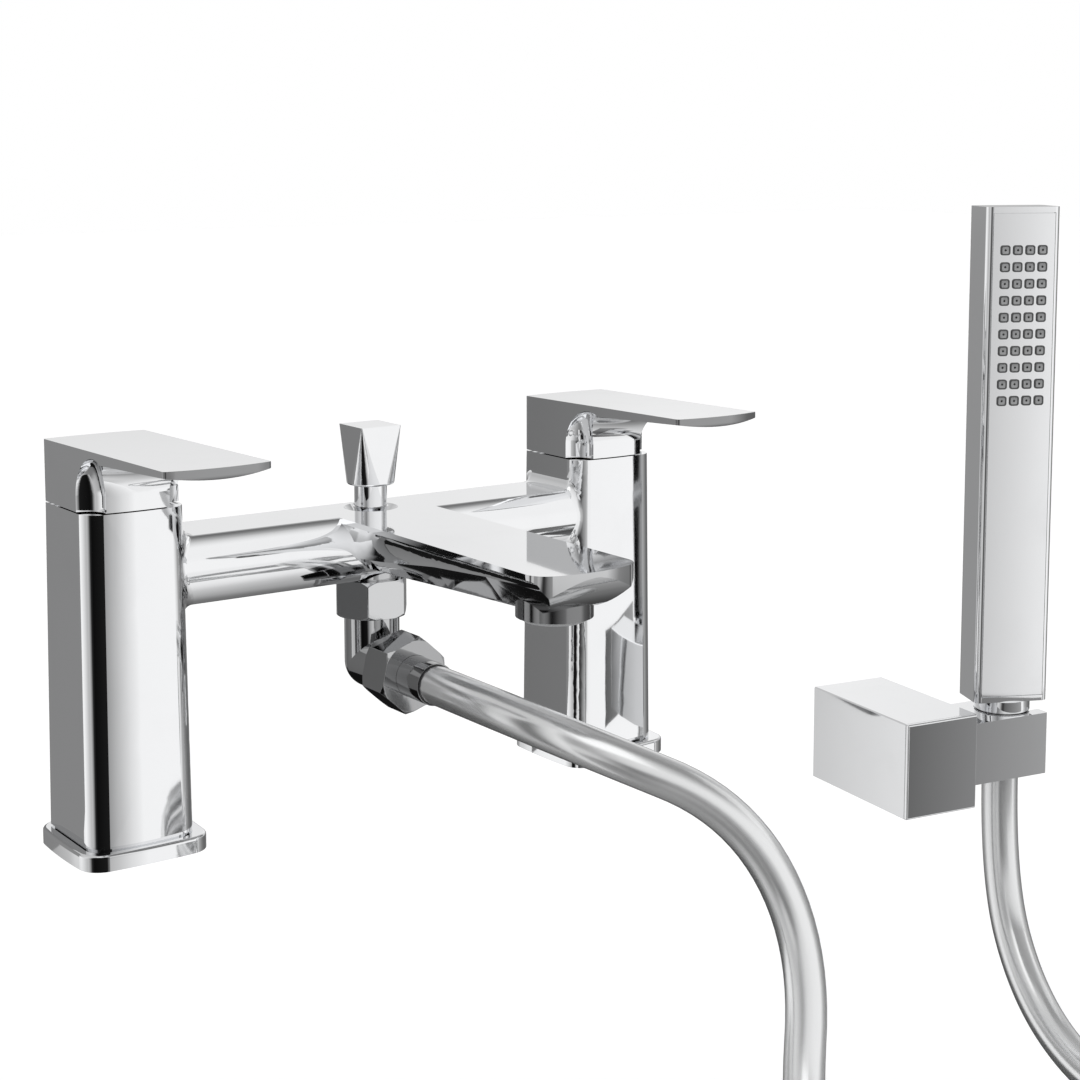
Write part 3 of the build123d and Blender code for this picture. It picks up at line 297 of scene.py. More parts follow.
def scaled(colour, share):
    """A colour made darker or lighter, and no lighter than white."""
    return tuple(min(1.0, channel * share) for channel in colour)


class Field:
    """A number or colour on its way through a material, with arithmetic written as Python."""

    def __init__(self, recipe, socket):
        self.recipe = recipe
        self.socket = socket

    def maths(self, operation, *values):
        """Works out one step on values, as a node."""
        return self.recipe.maths_node(operation, *values)

    def __add__(self, other):
        return self.maths("ADD", self, other)

    def __radd__(self, other):
        return self.maths("ADD", other, self)

    def __sub__(self, other):
        return self.maths("SUBTRACT", self, other)

    def __rsub__(self, other):
        return self.maths("SUBTRACT", other, self)

    def __mul__(self, other):
        return self.maths("MULTIPLY", self, other)

    def __rmul__(self, other):
        return self.maths("MULTIPLY", other, self)

    def __truediv__(self, other):
        return self.maths("DIVIDE", self, other)

    def __rtruediv__(self, other):
        return self.maths("DIVIDE", other, self)

    def sine(self):
        """The sine of the value."""
        return self.maths("SINE", self)

    def degrees(self):
        """The angle in degrees."""
        return self.maths("DEGREES", self)

    def grey_along(self, stops):
        """The brightness at this value, between stops of a value and a brightness as it is seen."""
        low, high = stops[0][0], stops[-1][0]
        share = (self - low) / (high - low)
        places = [((value - low) / (high - low), (light_of(seen),) * 3) for value, seen in stops]
        return self.recipe.node("ShaderNodeValToRGB", {"stops": places}, share)

    def between(self, low, high):
        """0 below low, 1 above high and smooth in between."""
        smooth = {"interpolation_type": "SMOOTHSTEP"}
        limits = {"From Min": low, "From Max": high}
        return self.recipe.node("ShaderNodeMapRange", smooth, Value=self, **limits)

    def blend(self, first, second):
        """The first colour where this is 0, and the second where it is 1."""
        return self.recipe.mix(self, first, second)


class Recipe:
    """The nodes of one material or of the surroundings."""

    def __init__(self, owner, output="ShaderNodeOutputMaterial"):
        """The owner is a material's name, or a world."""
        if isinstance(owner, str):
            owner = bpy.data.materials.get(owner) or bpy.data.materials.new(owner)
        self.material = owner
        owner.use_nodes = True
        self.tree = owner.node_tree
        self.tree.nodes.clear()
        self.out = self.tree.nodes.new(output)

    def maths_node(self, operation, *values):
        """Adds a Math node."""
        return self.node("ShaderNodeMath", {"operation": operation}, *values)

    def node(self, kind, settings=None, *ordered, output=0, **named):
        """Adds a node, applies its settings, then sets or links its sockets, and returns one output."""
        made = self.tree.nodes.new(kind)
        for key, value in (settings or {}).items():
            if key == "stops":
                self.set_stops(made.color_ramp, value)
            else:
                setattr(made, key, value)
        for place, value in [*enumerate(ordered), *named.items()]:
            self.feed(made.inputs[place], value)
        return Field(self, made.outputs[output])

    def set_stops(self, ramp, stops):
        """Gives a ramp these places and colours."""
        while len(ramp.elements) > len(stops):
            ramp.elements.remove(ramp.elements[-1])
        while len(ramp.elements) < len(stops):
            ramp.elements.new(1.0)
        for element, (position, colour) in zip(ramp.elements, stops):
            element.position = position
            element.color = (*colour, 1.0)

    def feed(self, socket, value):
        """Links a socket to a field, or sets its value."""
        if isinstance(value, Field):
            self.tree.links.new(value.socket, socket)
        elif hasattr(value, "__len__") and socket.type == "RGBA" and len(value) == 3:
            socket.default_value = (*value, 1.0)
        else:
            socket.default_value = value

    def mix(self, amount, first, second):
        """Mixes two colours."""
        made = self.tree.nodes.new("ShaderNodeMix")
        made.data_type = "RGBA"
        colours = [socket for socket in made.inputs if socket.type == "RGBA"]
        self.feed(made.inputs[0], amount)
        self.feed(colours[0], first)
        self.feed(colours[1], second)
        result = [socket for socket in made.outputs if socket.type == "RGBA"]
        return Field(self, result[0])

    def place(self):
        """Position on the piece, in metres."""
        return self.node("ShaderNodeTexCoord", output="Object")

    def noise(self, scale, detail=2.0, roughness=0.5, vector=None):
        """Cloudy variation from 0 to 1."""
        vector = vector or self.place()
        wave = {"Scale": scale, "Detail": detail, "Roughness": roughness}
        return self.node("ShaderNodeTexNoise", Vector=vector, **wave)

    def stretched(self, factors):
        """Position on the piece with each axis scaled."""
        return self.node("ShaderNodeVectorMath", {"operation": "MULTIPLY"}, self.place(), factors)

    def parts(self, vector):
        """The three numbers of a vector."""
        made = self.tree.nodes.new("ShaderNodeSeparateXYZ")
        self.feed(made.inputs[0], vector)
        return [Field(self, socket) for socket in made.outputs]

    def bump(self, height, strength, distance):
        """The direction of the surface, raised by a height."""
        return self.node("ShaderNodeBump", Strength=strength, Distance=distance, Height=height)

    def surface(self, **values):
        """The Principled shader, as the material's surface."""
        named = {key.replace("_", " ").title(): value for key, value in values.items()}
        self.show(self.node("ShaderNodeBsdfPrincipled", **named))
        return self.material

    def show(self, shader):
        """Makes a shader the surface."""
        self.tree.links.new(shader.socket, self.out.inputs["Surface"])


def settings():
    """The scene's settings for this object."""
    return bpy.context.scene.mixer_settings


# Painted shade on the end of a lever or spout: where it starts, its heights, and its share of the light low
# and high on it
LEVER_LIP_SHADE = {
    "start": 0.0690, "fade": 0.0008, "bottom": 0.1250, "top": 0.1266, "low": 0.08, "high": 0.34,
}
SPOUT_NOSE_SHADE = {
    "start": 0.1040, "fade": 0.0080, "bottom": 0.0836, "top": 0.0974, "low": 0.46, "high": 0.62,
}
# How far up a face points, from 0 to 1, where it starts to count as the top face, which the painted shade
# spares, and where it fully does
TOP_FACE = (0.45, 0.75)


def paint_end_shade(recipe, colour, tip_shade):
    """Painted shade on the end of a lever or spout: darkens its colour, apart from its top face, and more
    towards its foot.
    """
    _, along, height = recipe.parts(recipe.place())
    up = recipe.parts(recipe.node("ShaderNodeTexCoord", output="Normal"))[2]
    share = tip_shade["low"] + height.between(tip_shade["bottom"], tip_shade["top"]) * (tip_shade["high"] - tip_shade["low"])
    reach = (along * -1.0).between(tip_shade["start"], tip_shade["start"] + tip_shade["fade"])
    below_top = 1.0 - up.between(*TOP_FACE)
    return (reach * below_top * (1.0 - share)).blend(colour, (0.0, 0.0, 0.0))


def chrome(name, polish=None, shade=1.0, tip_shade=None):
    """Polished chrome over a cast body: mirror-like, with faint wipe marks and a slight swell, and darkened
    as painted shade where asked.
    """
    metal = settings().metal
    recipe = Recipe(name)
    polish = metal.polish if polish is None else polish
    marks = recipe.noise(scale=42.0, detail=4.0, roughness=0.6).between(0.45, 0.85)
    streaks = recipe.stretched((1.0, 1.0, 6.0))
    wipes = recipe.noise(scale=9.0, detail=3.0, roughness=0.55, vector=streaks).between(0.5, 0.9)
    roughness = polish + marks * (polish * MARK_SHARE) + wipes * (polish * WIPE_SHARE)
    # Painted shade: the chrome's colour scaled by the share given as shade
    tone = scaled(metal.chrome, shade)
    colour = marks.blend(tone, scaled(tone, 0.97))
    # Painted shade on the end of a lever or spout
    if tip_shade:
        colour = paint_end_shade(recipe, colour, tip_shade)
    swell = recipe.noise(scale=26.0, detail=1.0, roughness=0.4)
    ripple = recipe.bump(swell, strength=0.02, distance=RIPPLE_HEIGHT)
    return recipe.surface(base_color=colour, metallic=1.0, roughness=roughness, normal=ripple)


def bare_metal(name, colour, roughness=0.3):
    """Machined or plated metal of inner pieces: fine turning marks and some tarnish."""
    recipe = Recipe(name)
    turning = (recipe.parts(recipe.place())[2] * TURNING_WAVES).sine()
    tarnish = recipe.noise(scale=120.0, detail=4.0, roughness=0.6).between(0.35, 0.8)
    tone = tarnish.blend(colour, scaled(colour, 0.72))
    marks = recipe.bump(turning, strength=0.12, distance=GRAIN_HEIGHT)
    return recipe.surface(base_color=tone, metallic=1.0, roughness=roughness + tarnish * 0.15, normal=marks)


def ceramic():
    """Lapped ceramic of the valve discs."""
    recipe = Recipe("ceramic")
    speck = recipe.noise(scale=700.0, detail=3.0, roughness=0.7).between(0.4, 0.9)
    tone = settings().trim.ceramic
    colour = speck.blend(tone, scaled(tone, 0.93))
    return recipe.surface(base_color=colour, roughness=0.18 + speck * 0.12)


def rubber():
    """Black rubber of seals."""
    recipe = Recipe("rubber")
    grain = recipe.noise(scale=1500.0, detail=3.0, roughness=0.7)
    tone = settings().trim.rubber
    colour = grain.blend(tone, scaled(tone, 2.2))
    pores = recipe.bump(grain, strength=0.2, distance=GRAIN_HEIGHT)
    return recipe.surface(base_color=colour, roughness=0.42 + grain * 0.2, normal=pores)


def nozzle_rubber(name="nozzle_rubber", share=1.0):
    """Soft grey rubber of the nozzles, with chalky patches."""
    recipe = Recipe(name)
    chalk = recipe.noise(scale=900.0, detail=4.0, roughness=0.65).between(0.4, 0.8)
    tone = scaled(settings().trim.nozzle, share)
    colour = chalk.blend(tone, scaled(tone, 1.18))
    crust = recipe.bump(chalk, strength=0.15, distance=GRAIN_HEIGHT)
    return recipe.surface(base_color=colour, roughness=0.5 + chalk * 0.2, normal=crust)


def hose_silver():
    """Silver hose: satin foil under a clear smooth skin."""
    recipe = Recipe("hose_silver")
    tone = settings().hose.colour
    cloud = recipe.noise(scale=30.0)
    grain = recipe.noise(scale=1500.0, detail=3.0, roughness=0.7).between(0.3, 0.8)
    colour = (cloud * 0.8 + grain * 0.1).blend(tone, scaled(tone, 0.94))
    return recipe.surface(
        base_color=colour, metallic=0.82, roughness=0.225 + grain * 0.015,
        coat_weight=0.25, coat_roughness=0.12,
    )


def finish(names, material, bevel=0.0):
    """Gives CAD pieces their finish, and small soft edges where one is asked."""
    for name in names:
        piece = NODES[name]
        piece.data.materials.clear()
        piece.data.materials.append(material)
        if bevel > 0:
            soften(piece, bevel)


def soften(piece, bevel):
    """A small bevel on the sharp edges, with the large faces kept flat in the light."""
    weld = piece.modifiers.new("Weld", "WELD")
    weld.merge_threshold = WELD_DISTANCE
    edge = piece.modifiers.new("Edges", "BEVEL")
    edge.width = bevel
    edge.segments = EDGE_SEGMENTS
    edge.limit_method = "ANGLE"
    edge.angle_limit = EDGE_ANGLE
    even = piece.modifiers.new("Even light", "WEIGHTED_NORMAL")
    even.weight = FULL_WEIGHT


def new_piece(name, fill, material, body=None):
    """Makes a mesh object from a function that fills a bmesh, and rides it on a body."""
    mesh = bpy.data.meshes.new(name)
    work = bmesh.new()
    fill(work)
    bmesh.ops.recalc_face_normals(work, faces=work.faces)
    work.to_mesh(mesh)
    work.free()
    piece = bpy.data.objects.new(name, mesh)
    bpy.context.scene.collection.objects.link(piece)
    mesh.materials.append(material)
    # Caps have more corners than four, and stay flat
    for polygon in mesh.polygons:
        polygon.use_smooth = len(polygon.vertices) <= 4
    if body:
        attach(piece, body)
    return piece


def coil_whole():
    """Angle of all the coil's loops together."""
    hose = settings().hose
    return hose.coil_exit + 2 * math.pi * hose.coil_turns - hose.coil_entry


def coil_height(angle):
    """Height of the coil's middle line after an angle from its entry, level at both ends."""
    hose = settings().hose
    whole = coil_whole()
    steep = hose.coil_pitch / (2 * math.pi)
    base = settings().stage.floor_height + hose.diameter / 2
    if angle < COIL_EASE:
        return base + steep * angle * angle / (2 * COIL_EASE)
    left = whole - angle
    if left < COIL_EASE:
        return base + steep * (whole - COIL_EASE) - steep * left * left / (2 * COIL_EASE)
    return base + steep * (angle - COIL_EASE / 2)


def coil_spot(angle, radius):
    """A point at a radius of the coil after an angle from its entry."""
    hose = settings().hose
    turned = hose.coil_entry + angle
    x, y = hose.coil_centre
    return Vector((x + radius * math.cos(turned), y + radius * math.sin(turned), coil_height(angle)))


def coil_way(angle):
    """Level direction of the coil after an angle from its entry."""
    turned = settings().hose.coil_entry + angle
    return Vector((-math.sin(turned), math.cos(turned), 0.0))


def coil_start():
    """A diameter before the first loop."""
    hose = settings().hose
    return coil_spot(0.0, hose.coil_radius) - coil_way(0.0) * hose.diameter


def coil_end():
    """A diameter after the last loop."""
    hose = settings().hose
    whole = coil_whole()
    return coil_spot(whole, hose.coil_radius) + coil_way(whole) * hose.diameter


def front_points():
    """The hose from the outlet down to the floor, through the coil."""
    hose = settings().hose
    start = coil_start()
    points = [Vector(point) for point in FRONT_ROUTE]
    points += [start - coil_way(0.0) * hose.lead_run, start]
    whole = coil_whole()
    count = round(COIL_POINTS_PER_TURN * whole / (2 * math.pi))
    step = whole / count
    outer = hose.coil_radius * 2 / (1 + math.cos(step))
    points += [coil_spot(step * (index + 0.5), outer) for index in range(count)]
    points.append(coil_end())
    return points


def riser_points():
    """The hose from the coil up to the handset."""
    hose = settings().hose
    end = coil_end()
    return [end, end + coil_way(coil_whole()) * hose.lift_run, *[Vector(point) for point in RISER_ROUTE]]


def spline(name, points, steps=LINE_STEPS):
    """An open smooth line along the route, as a curve object's data."""
    data = bpy.data.curves.new(name, "CURVE")
    data.dimensions = "3D"
    line = data.splines.new("NURBS")
    line.points.add(len(points) - 1)
    for control, point in zip(line.points, points):
        control.co = (*point, 1.0)
    line.order_u = 3
    line.use_endpoint_u = True
    line.resolution_u = steps
    return data


def line_points(data):
    """Points along a curve that has no bevel."""
    holder = bpy.data.objects.new("route", data)
    mesh = bpy.data.meshes.new_from_object(holder)
    points = [vertex.co.copy() for vertex in mesh.vertices]
    bpy.data.meshes.remove(mesh)
    bpy.data.objects.remove(holder)
    return points


def line_length(points):
    """Length of the runs between points."""
    return sum((after - before).length for before, after in zip(points, points[1:]))


def tube_rings(points, radius):
    """Rings of points round a line that starts level, for a tube of one radius."""
    angles = [2 * math.pi * number / TUBE_SIDES for number in range(TUBE_SIDES)]
    rings = []
    side = (points[1] - points[0]).normalized().cross(Vector((0.0, 0.0, 1.0)))
    for index, point in enumerate(points):
        before = points[max(index - 1, 0)]
        after = points[min(index + 1, len(points) - 1)]
        way = (after - before).normalized()
        side = (side - way * side.dot(way)).normalized()
        across = way.cross(side)
        spokes = [side * math.cos(angle) + across * math.sin(angle) for angle in angles]
        rings.append([point + spoke * radius for spoke in spokes])
    return rings


def fill_tube(work, rings):
    """A round tube through rings, closed at both ends, with a narrow band beside each end."""
    first = [end.lerp(inner, END_BAND_SHARE) for end, inner in zip(rings[0], rings[1])]
    last = [end.lerp(inner, END_BAND_SHARE) for end, inner in zip(rings[-1], rings[-2])]
    rings = [rings[0], first, *rings[1:-1], last, rings[-1]]
    loops = [[work.verts.new(place) for place in ring] for ring in rings]
    for below, above in zip(loops, loops[1:]):
        for number in range(TUBE_SIDES):
            following = (number + 1) % TUBE_SIDES
            work.faces.new((below[number], below[following], above[following], above[number]))
    work.faces.new(loops[0])
    work.faces.new(loops[-1])


class MIXER_OT_camera(Operator):
    """Set the camera at the photograph's place."""

    bl_idname = "mixer.camera"
    bl_label = "Set the camera"

    def execute(self, context):
        stage = settings().stage
        data = bpy.data.cameras.new("camera")
        data.lens = stage.camera_lens
        data.sensor_width = SENSOR_WIDTH
        data.shift_y = stage.camera_shift
        data.clip_start = NEAR_CLIP
        camera = bpy.data.objects.new("camera", data)
        camera.location = stage.camera_place
        camera.rotation_euler = (math.pi / 2 - stage.camera_pitch, 0.0, -stage.camera_yaw)
        context.scene.collection.objects.link(camera)
        context.scene.camera = camera
        return {"FINISHED"}


class MIXER_OT_hose(Operator):
    """Lay the shower hose from the outlet to its coil and up to the handset."""

    bl_idname = "mixer.hose"
    bl_label = "Lay the hose"

    def execute(self, context):
        hose = settings().hose
        silver = hose_silver()
        data = spline("hose_to_coil", front_points())
        length = line_length(line_points(data))
        data.bevel_depth = hose.diameter / 2
        data.bevel_resolution = HOSE_ROUND_STEPS
        data.use_fill_caps = True
        data.materials.append(silver)
        lower = bpy.data.objects.new("hose_to_coil", data)
        context.scene.collection.objects.link(lower)
        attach(lower, "mixer")
        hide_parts("hose_front", "hose_coil")
        self.raise_hose(silver)
        return {"FINISHED"}

    def raise_hose(self, silver):
        """The riser in two pieces: the bend up from the coil, and the short neck at its top end."""
        hose = settings().hose
        points = line_points(spline("hose_riser_route", riser_points(), RISER_STEPS))
        neck_foot = points[-1].z - hose.neck
        split = next(index for index, point in enumerate(points) if point.z > neck_foot)
        bending = points[: split + 1]
        rings = tube_rings(points, hose.diameter / 2)
        # The riser ends inside the neck, and the neck starts a ring before the split
        inner = [
            [points[index].lerp(place, SLIP_SHARE) for place in rings[index]]
            for index in range(split + SLIP_RINGS + 1)
        ]
        outer = rings[split - 1 :]
        riser = new_piece("hose_riser_bend", lambda work: fill_tube(work, inner), silver)
        neck = new_piece("hose_riser_neck", lambda work: fill_tube(work, outer), silver)
        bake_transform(riser)
        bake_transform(neck)
        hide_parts("hose_riser")
        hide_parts("hose_riser")


class MIXER_OT_body(Operator):
    """Finish the cast body, its base plates and the aerator."""

    bl_idname = "mixer.body"
    bl_label = "Finish the body"

    def execute(self, context):
        # Painted shade on the spout's nose
        finish(["body_casting"], chrome("body_chrome_painted_nose_shade", tip_shade=SPOUT_NOSE_SHADE))
        finish(["hot_base_plate", "cold_base_plate"], chrome("plate_chrome"))
        # Painted shade: the aerator's chrome darkened to a quarter
        finish(["aerator_housing"], chrome("aerator_painted_shade_chrome", polish=0.12, shade=0.25))
        finish(["aerator_insert"], nozzle_rubber())
        return {"FINISHED"}


class MIXER_OT_levers(Operator):
    """Finish the lever handles, their spindles and the valve cartridges."""

    bl_idname = "mixer.levers"
    bl_label = "Finish the levers"

    def execute(self, context):
        brass = bare_metal("brass", settings().metal.brass)
        zinc = bare_metal("zinc_plate", settings().metal.zinc)
        discs = ceramic()
        # Painted shade on the lever lips
        lever_chrome_painted_lip_shade = chrome("lever_chrome_painted_lip_shade", tip_shade=LEVER_LIP_SHADE)
        for side in ("hot", "cold"):
            finish([side + "_handle"], lever_chrome_painted_lip_shade)
            finish([side + "_cartridge", side + "_spindle"], brass)
            finish([side + "_fixed_disc", side + "_moving_disc"], discs)
            finish([side + "_handle_screw"], zinc)
        return {"FINISHED"}


class MIXER_OT_diverter(Operator):
    """Finish the diverter knob, its stem and collar."""

    bl_idname = "mixer.diverter"
    bl_label = "Finish the diverter"

    def execute(self, context):
        finish(["diverter_knob"], chrome("knob_chrome"))
        finish(["diverter_stem", "diverter_bonnet"], chrome("stem_chrome"))
        finish(["diverter_plug"], rubber())
        return {"FINISHED"}


class MIXER_OT_outlet(Operator):
    """Finish the shower outlet: nipple, nuts, elbow and ferrule."""

    bl_idname = "mixer.outlet"
    bl_label = "Finish the outlet"

    def execute(self, context):
        # Painted shade: the nuts, nipple, elbow and ferrule darkened, each by its own share
        finish(["outlet_nut"], chrome("outlet_nut_painted_shade_chrome", polish=0.05, shade=0.72), bevel=BLOCK_EDGE)
        finish(["hose_nut"], chrome("hose_nut_painted_shade_chrome", polish=0.05, shade=0.46), bevel=BLOCK_EDGE)
        finish(["outlet_nipple", "outlet_elbow"], chrome("elbow_painted_shade_chrome", polish=0.045, shade=0.60))
        finish(["hose_ferrule"], chrome("ferrule_painted_shade_chrome", polish=0.06, shade=0.40))
        finish(["hose_seal_ring"], rubber())
        return {"FINISHED"}


class MIXER_OT_bracket(Operator):
    """Finish the wall bracket and its tilting arm."""

    bl_idname = "mixer.bracket"
    bl_label = "Finish the bracket"

    def execute(self, context):
        satin = chrome("bracket_chrome", polish=0.05)
        finish(["bracket_cover", "bracket_cap", "bracket_arm"], satin, bevel=BLOCK_EDGE)
        zinc = bare_metal("zinc_plate", settings().metal.zinc)
        finish(["bracket_wall_plate", "bracket_wall_screw_left", "bracket_wall_screw_right"], zinc)
        finish(["bracket_grub_screw", "bracket_pivot_pin"], zinc)
        return {"FINISHED"}


class MIXER_OT_handset(Operator):
    """Finish the handset with its face plate, nozzles and conical nut."""

    bl_idname = "mixer.handset"
    bl_label = "Finish the handset"

    def execute(self, context):
        finish(["handset_body"], chrome("handset_chrome"), bevel=BLOCK_EDGE)
        # Painted shade: the conical nut darkened where it sits between the handset and the arm
        finish(["handset_cone_nut"], chrome("cone_painted_shade_chrome", polish=0.08, shade=0.45))
        finish(["handset_face_plate"], chrome("face_chrome", polish=0.06), bevel=PLATE_EDGE)
        self.build_pads()
        finish(["hose_tail"], bare_metal("tail_brass", settings().metal.brass))
        return {"FINISHED"}

    def build_pads(self):
        """Rubber pads of the nozzle field: raised rounded squares, sunk inside, with a jet hole each; the
        rims are darkened as a painted shadow and the jet holes as painted shade.
        """
        pad = settings().nozzles

        def fill(work):
            for row in range(pad.rows):
                for column in range(pad.columns):
                    across = (column - (pad.columns - 1) / 2) * pad.column_step
                    self.fill_pad(work, Vector((across, -pad.face_place, pad.top - row * pad.row_step)))

        # Painted shadow on the rims and painted shade in the jet holes; the cups keep the rubber's own grey
        pads = new_piece("nozzle_pads", fill, nozzle_rubber("nozzle_rim_painted_shadow", 0.17), "handset")
        pads.data.materials.append(nozzle_rubber("nozzle_cup", 0.95))
        pads.data.materials.append(nozzle_rubber("jet_hole_painted_shade", 0.03))
        turn = Matrix.Rotation(pad.turn, 4, "Z")
        pads.data.transform(Matrix.Translation((*pad.axis, 0.0)) @ turn)
        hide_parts("handset_nozzles")

    def fill_pad(self, work, centre):
        """One pad as rings from its foot over the rim and down the jet hole."""
        pad = settings().nozzles
        half, rise = pad.side / 2, pad.rise
        # Half width, corner radius and height of each ring, then the material of the band above it
        rings = [
            (half, pad.corner, 0.0, 0),
            (half, pad.corner, rise - pad.rim_round, 0),
            (half - pad.rim_round, pad.corner - pad.rim_round, rise, 0),
            (half - pad.rim, pad.corner - pad.rim / 2, rise, 0),
            (half - pad.rim - pad.rim_round, pad.jet + pad.rim_round, pad.cup_floor, 1),
            (pad.jet, pad.jet, pad.cup_floor, 2),
            (pad.jet, pad.jet, pad.jet_floor, 2),
        ]
        loops = [self.pad_loop(work, centre, ring) for ring in rings]
        for below, above, ring in zip(loops, loops[1:], rings):
            for number, corner in enumerate(below):
                following = (number + 1) % len(below)
                band = work.faces.new((corner, below[following], above[following], above[number]))
                band.material_index = ring[3]
        work.faces.new(loops[0])
        work.faces.new(loops[-1]).material_index = 2

    def pad_loop(self, work, centre, ring):
        """The corners of one ring of a pad."""
        half, corner, height, _ = ring
        loop = []
        for number in range(PAD_POINTS):
            angle = 2 * math.pi * (number + 0.5) / PAD_POINTS
            across, up = math.cos(angle), math.sin(angle)
            x = math.copysign(half - corner, across) + across * corner
            z = math.copysign(half - corner, up) + up * corner
            loop.append(work.verts.new(centre + Vector((x, -height, z))))
        return loop


def card(name, corner, across, height, stops):
    """An upright studio card that shows in reflections only, its brightness graded along its width."""
    recipe = Recipe(name)
    run = Vector(across)
    share = tuple(run / run.length_squared)
    dot = {"operation": "DOT_PRODUCT"}
    along = recipe.node("ShaderNodeVectorMath", dot, recipe.place(), share, output="Value")
    glow = recipe.node("ShaderNodeEmission", Color=along.grey_along(stops), Strength=1.0)
    recipe.show(glow)
    rise = Vector((0.0, 0.0, height))

    def fill(work):
        origin = Vector((0.0, 0.0, 0.0))
        work.faces.new([work.verts.new(point) for point in (origin, run, run + rise, rise)])

    piece = new_piece(name, fill, recipe.material)
    piece.location = corner
    for ray in ("camera", "shadow", "diffuse", "transmission", "volume_scatter"):
        setattr(piece, "visible_" + ray, False)


# What the chrome sees around it, as degrees of bearing from -Y towards +X and the brightness seen there
FROM_BELOW = [(-180, 0.42), (-60, 0.5), (40, 0.80), (70, 0.70), (120, 0.45), (180, 0.42)]
FROM_FLOOR = [
    (-180, 0.08), (-152, 0.10), (-142, 0.35), (-120, 0.65), (-90, 0.72), (-60, 0.30), (-30, 0.60),
    (0, 0.90), (45, 0.93), (62, 0.80), (90, 0.55), (120, 0.40), (150, 0.10), (180, 0.08),
]
FROM_LEVEL = [
    (-180, 0.56), (-165, 0.62), (-153.5, 0.77), (-150.5, 0.88), (-144, 0.94), (-130, 0.96), (-118, 0.90),
    (-107, 0.84), (-97, 0.76), (-87, 0.70), (-77, 0.70), (-66, 0.84), (-55, 0.70), (-47, 0.30),
    (-42, 0.20), (-34, 0.36), (-24, 0.55), (-10, 0.68), (-1.0, 0.76), (1.2, 0.93), (20, 0.95),
    (48, 0.96), (54, 0.84), (62, 0.64), (85, 0.46), (105, 0.37), (130, 0.45), (165, 0.52), (180, 0.56),
]
FROM_ABOVE = [
    (-180, 0.78), (-150, 0.70), (-100, 0.85), (-62, 0.50), (-36, 0.85), (0, 0.92), (45, 0.95),
    (70, 0.60), (100, 0.72), (125, 0.86), (141, 0.94), (147, 0.89), (156, 0.885), (168, 0.86), (180, 0.78),
]
FROM_CEILING = [(-180, 0.75), (-60, 0.80), (0, 0.78), (45, 0.38), (120, 0.60), (180, 0.75)]
# Between which degrees of height each of them takes over from the one before
TAKING_OVER = [
    (-62, -42, FROM_FLOOR), (-24, -18, FROM_LEVEL), (-4, 9, FROM_ABOVE), (24, 45, FROM_CEILING),
]

# The cards: name, corner, run across, height, and the brightness seen at shares of the run.
# Grey behind the mixer for its sides, black beside its corners, and grey before the bracket.
CARDS = [
    (
        "side_card", (-0.29, 0.20, -0.070), (0.240, 0.0, 0.0), 0.200,
        [(0.0, 0.53), (0.45, 0.51), (1.0, 0.43)],
    ),
    (
        "corner_flag", (-0.215, -0.020, -0.128), (0.165, -0.098, 0.0), 0.238,
        [
            (0.0, 0.76), (0.14, 0.63), (0.25, 0.15), (0.33, 0.05), (0.69, 0.10), (0.755, 0.50),
            (0.81, 0.72), (0.90, 0.86), (1.0, 0.95),
        ],
    ),
    ("bracket_flag", (0.160, -0.150, -0.030), (0.085, -0.008, 0.0), 0.042, [(0.0, 0.36), (1.0, 0.62)]),
]

# The lamps: name, place, size, and share of the lamp power
LAMPS = [
    ("key_lamp", (-0.5, -0.9, 1.3), 1.0, 1.0),
    ("side_lamp", (1.2, -0.5, 0.8), 0.8, 0.5),
]
LAMP_AIM = Vector((0.05, -0.05, 0.05))


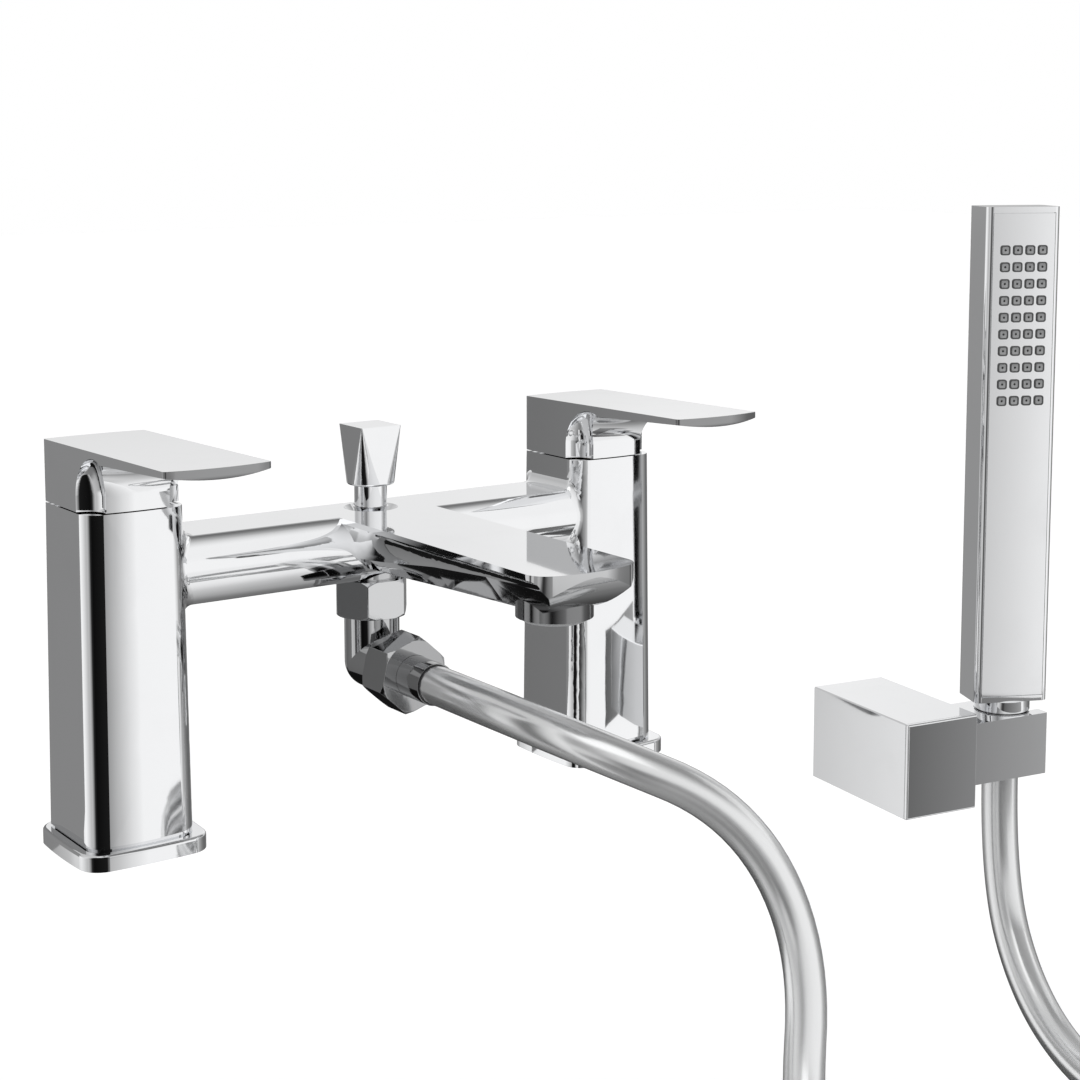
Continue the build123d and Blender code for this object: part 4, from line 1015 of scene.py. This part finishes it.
class MIXER_OT_stage(Operator):
    """Build the pale floor, the studio round it, the reflecting cards and the soft lamps."""

    bl_idname = "mixer.stage"
    bl_label = "Build the stage"

    def execute(self, context):
        self.build_floor()
        self.build_world(context)
        for values in CARDS:
            card(*values)
        self.build_lamps(context)
        context.scene.view_settings.view_transform = "Standard"
        return {"FINISHED"}

    def build_floor(self):
        """A pale floor that chrome doesn't mirror, with its shadow lifted for the camera."""
        stage = settings().stage
        recipe = Recipe("floor_paint")
        cloud = recipe.noise(scale=3.0, detail=3.0)
        colour = cloud.blend(stage.floor_colour, scaled(stage.floor_colour, 0.985))
        lift = self.rays(recipe)["Is Camera Ray"].blend((0.0, 0.0, 0.0), stage.floor_lift)
        recipe.surface(base_color=colour, roughness=0.6, emission_color=lift, emission_strength=1.0)

        def fill(work):
            signs = [(-1, -1), (1, -1), (1, 1), (-1, 1)]
            corners = [(x * FLOOR_REACH, y * FLOOR_REACH, stage.floor_height) for x, y in signs]
            work.faces.new([work.verts.new(corner) for corner in corners])

        floor = new_piece("floor", fill, recipe.material)
        floor.visible_glossy = False

    def build_world(self, context):
        """White to the camera, plain light on the floor, and graded studio walls in the chrome."""
        world = bpy.data.worlds.new("studio")
        context.scene.world = world
        recipe = Recipe(world, "ShaderNodeOutputWorld")
        x, y, z = recipe.parts(recipe.node("ShaderNodeTexCoord", output="Generated"))
        bearing = recipe.maths_node("ARCTAN2", x, y * -1.0).degrees()
        rise = recipe.maths_node("ARCSINE", z).degrees()
        seen = bearing.grey_along(FROM_BELOW)
        for low, high, brightness in TAKING_OVER:
            seen = rise.between(low, high).blend(seen, bearing.grey_along(brightness))
        rays = self.rays(recipe)
        sky = rays["Is Camera Ray"].blend(settings().stage.sky_colour, (1.0, 1.0, 1.0))
        colour = rays["Is Glossy Ray"].blend(sky, seen)
        glow = recipe.node("ShaderNodeBackground", Color=colour, Strength=1.0)
        recipe.show(glow)

    def rays(self, recipe):
        """Fields that are 1 for one kind of ray, by the kind's name."""
        path = recipe.tree.nodes.new("ShaderNodeLightPath")
        return {socket.name: Field(recipe, socket) for socket in path.outputs}

    def build_lamps(self, context):
        """Square soft lamps, aimed at the mixer."""
        for name, place, size, share in LAMPS:
            data = bpy.data.lights.new(name, "AREA")
            data.size = size
            data.energy = settings().stage.lamp_power * share
            lamp = bpy.data.objects.new(name, data)
            lamp.location = place
            lamp.rotation_euler = (LAMP_AIM - Vector(place)).to_track_quat("-Z", "Y").to_euler()
            context.scene.collection.objects.link(lamp)


class MIXER_PT_panel(Panel):
    """Buttons for each group of pieces."""

    bl_idname = "MIXER_PT_panel"
    bl_label = "Bath shower mixer"
    bl_space_type = "VIEW_3D"
    bl_region_type = "UI"
    bl_category = "Mixer"

    def draw(self, context):
        for operator in OPERATORS:
            self.layout.operator(operator.bl_idname)


class MixerSettings(PropertyGroup):
    """All the settings of the mixer."""

    hose: PointerProperty(type=HoseSettings)
    metal: PointerProperty(type=MetalSettings)
    trim: PointerProperty(type=TrimSettings)
    nozzles: PointerProperty(type=NozzleSettings)
    stage: PointerProperty(type=StageSettings)


OPERATORS = [
    MIXER_OT_camera, MIXER_OT_hose, MIXER_OT_body, MIXER_OT_levers, MIXER_OT_diverter,
    MIXER_OT_outlet, MIXER_OT_bracket, MIXER_OT_handset, MIXER_OT_stage,
]
CLASSES = [
    HoseSettings, MetalSettings, TrimSettings, NozzleSettings, StageSettings, MixerSettings,
    *OPERATORS, MIXER_PT_panel,
]


def register():
    """Adds the settings, operators and panel to Blender."""
    for item in CLASSES:
        bpy.utils.register_class(item)
    bpy.types.Scene.mixer_settings = PointerProperty(type=MixerSettings)


def unregister():
    """Takes them out again."""
    del bpy.types.Scene.mixer_settings
    for item in reversed(CLASSES):
        bpy.utils.unregister_class(item)


def main():
    """Dresses the frame, piece by piece."""
    register()
    bpy.ops.mixer.camera()
    bpy.ops.mixer.hose()
    bpy.ops.mixer.body()
    bpy.ops.mixer.levers()
    bpy.ops.mixer.diverter()
    bpy.ops.mixer.outlet()
    bpy.ops.mixer.bracket()
    bpy.ops.mixer.handset()
    bpy.ops.mixer.stage()


if __name__ == "__main__":
    main()
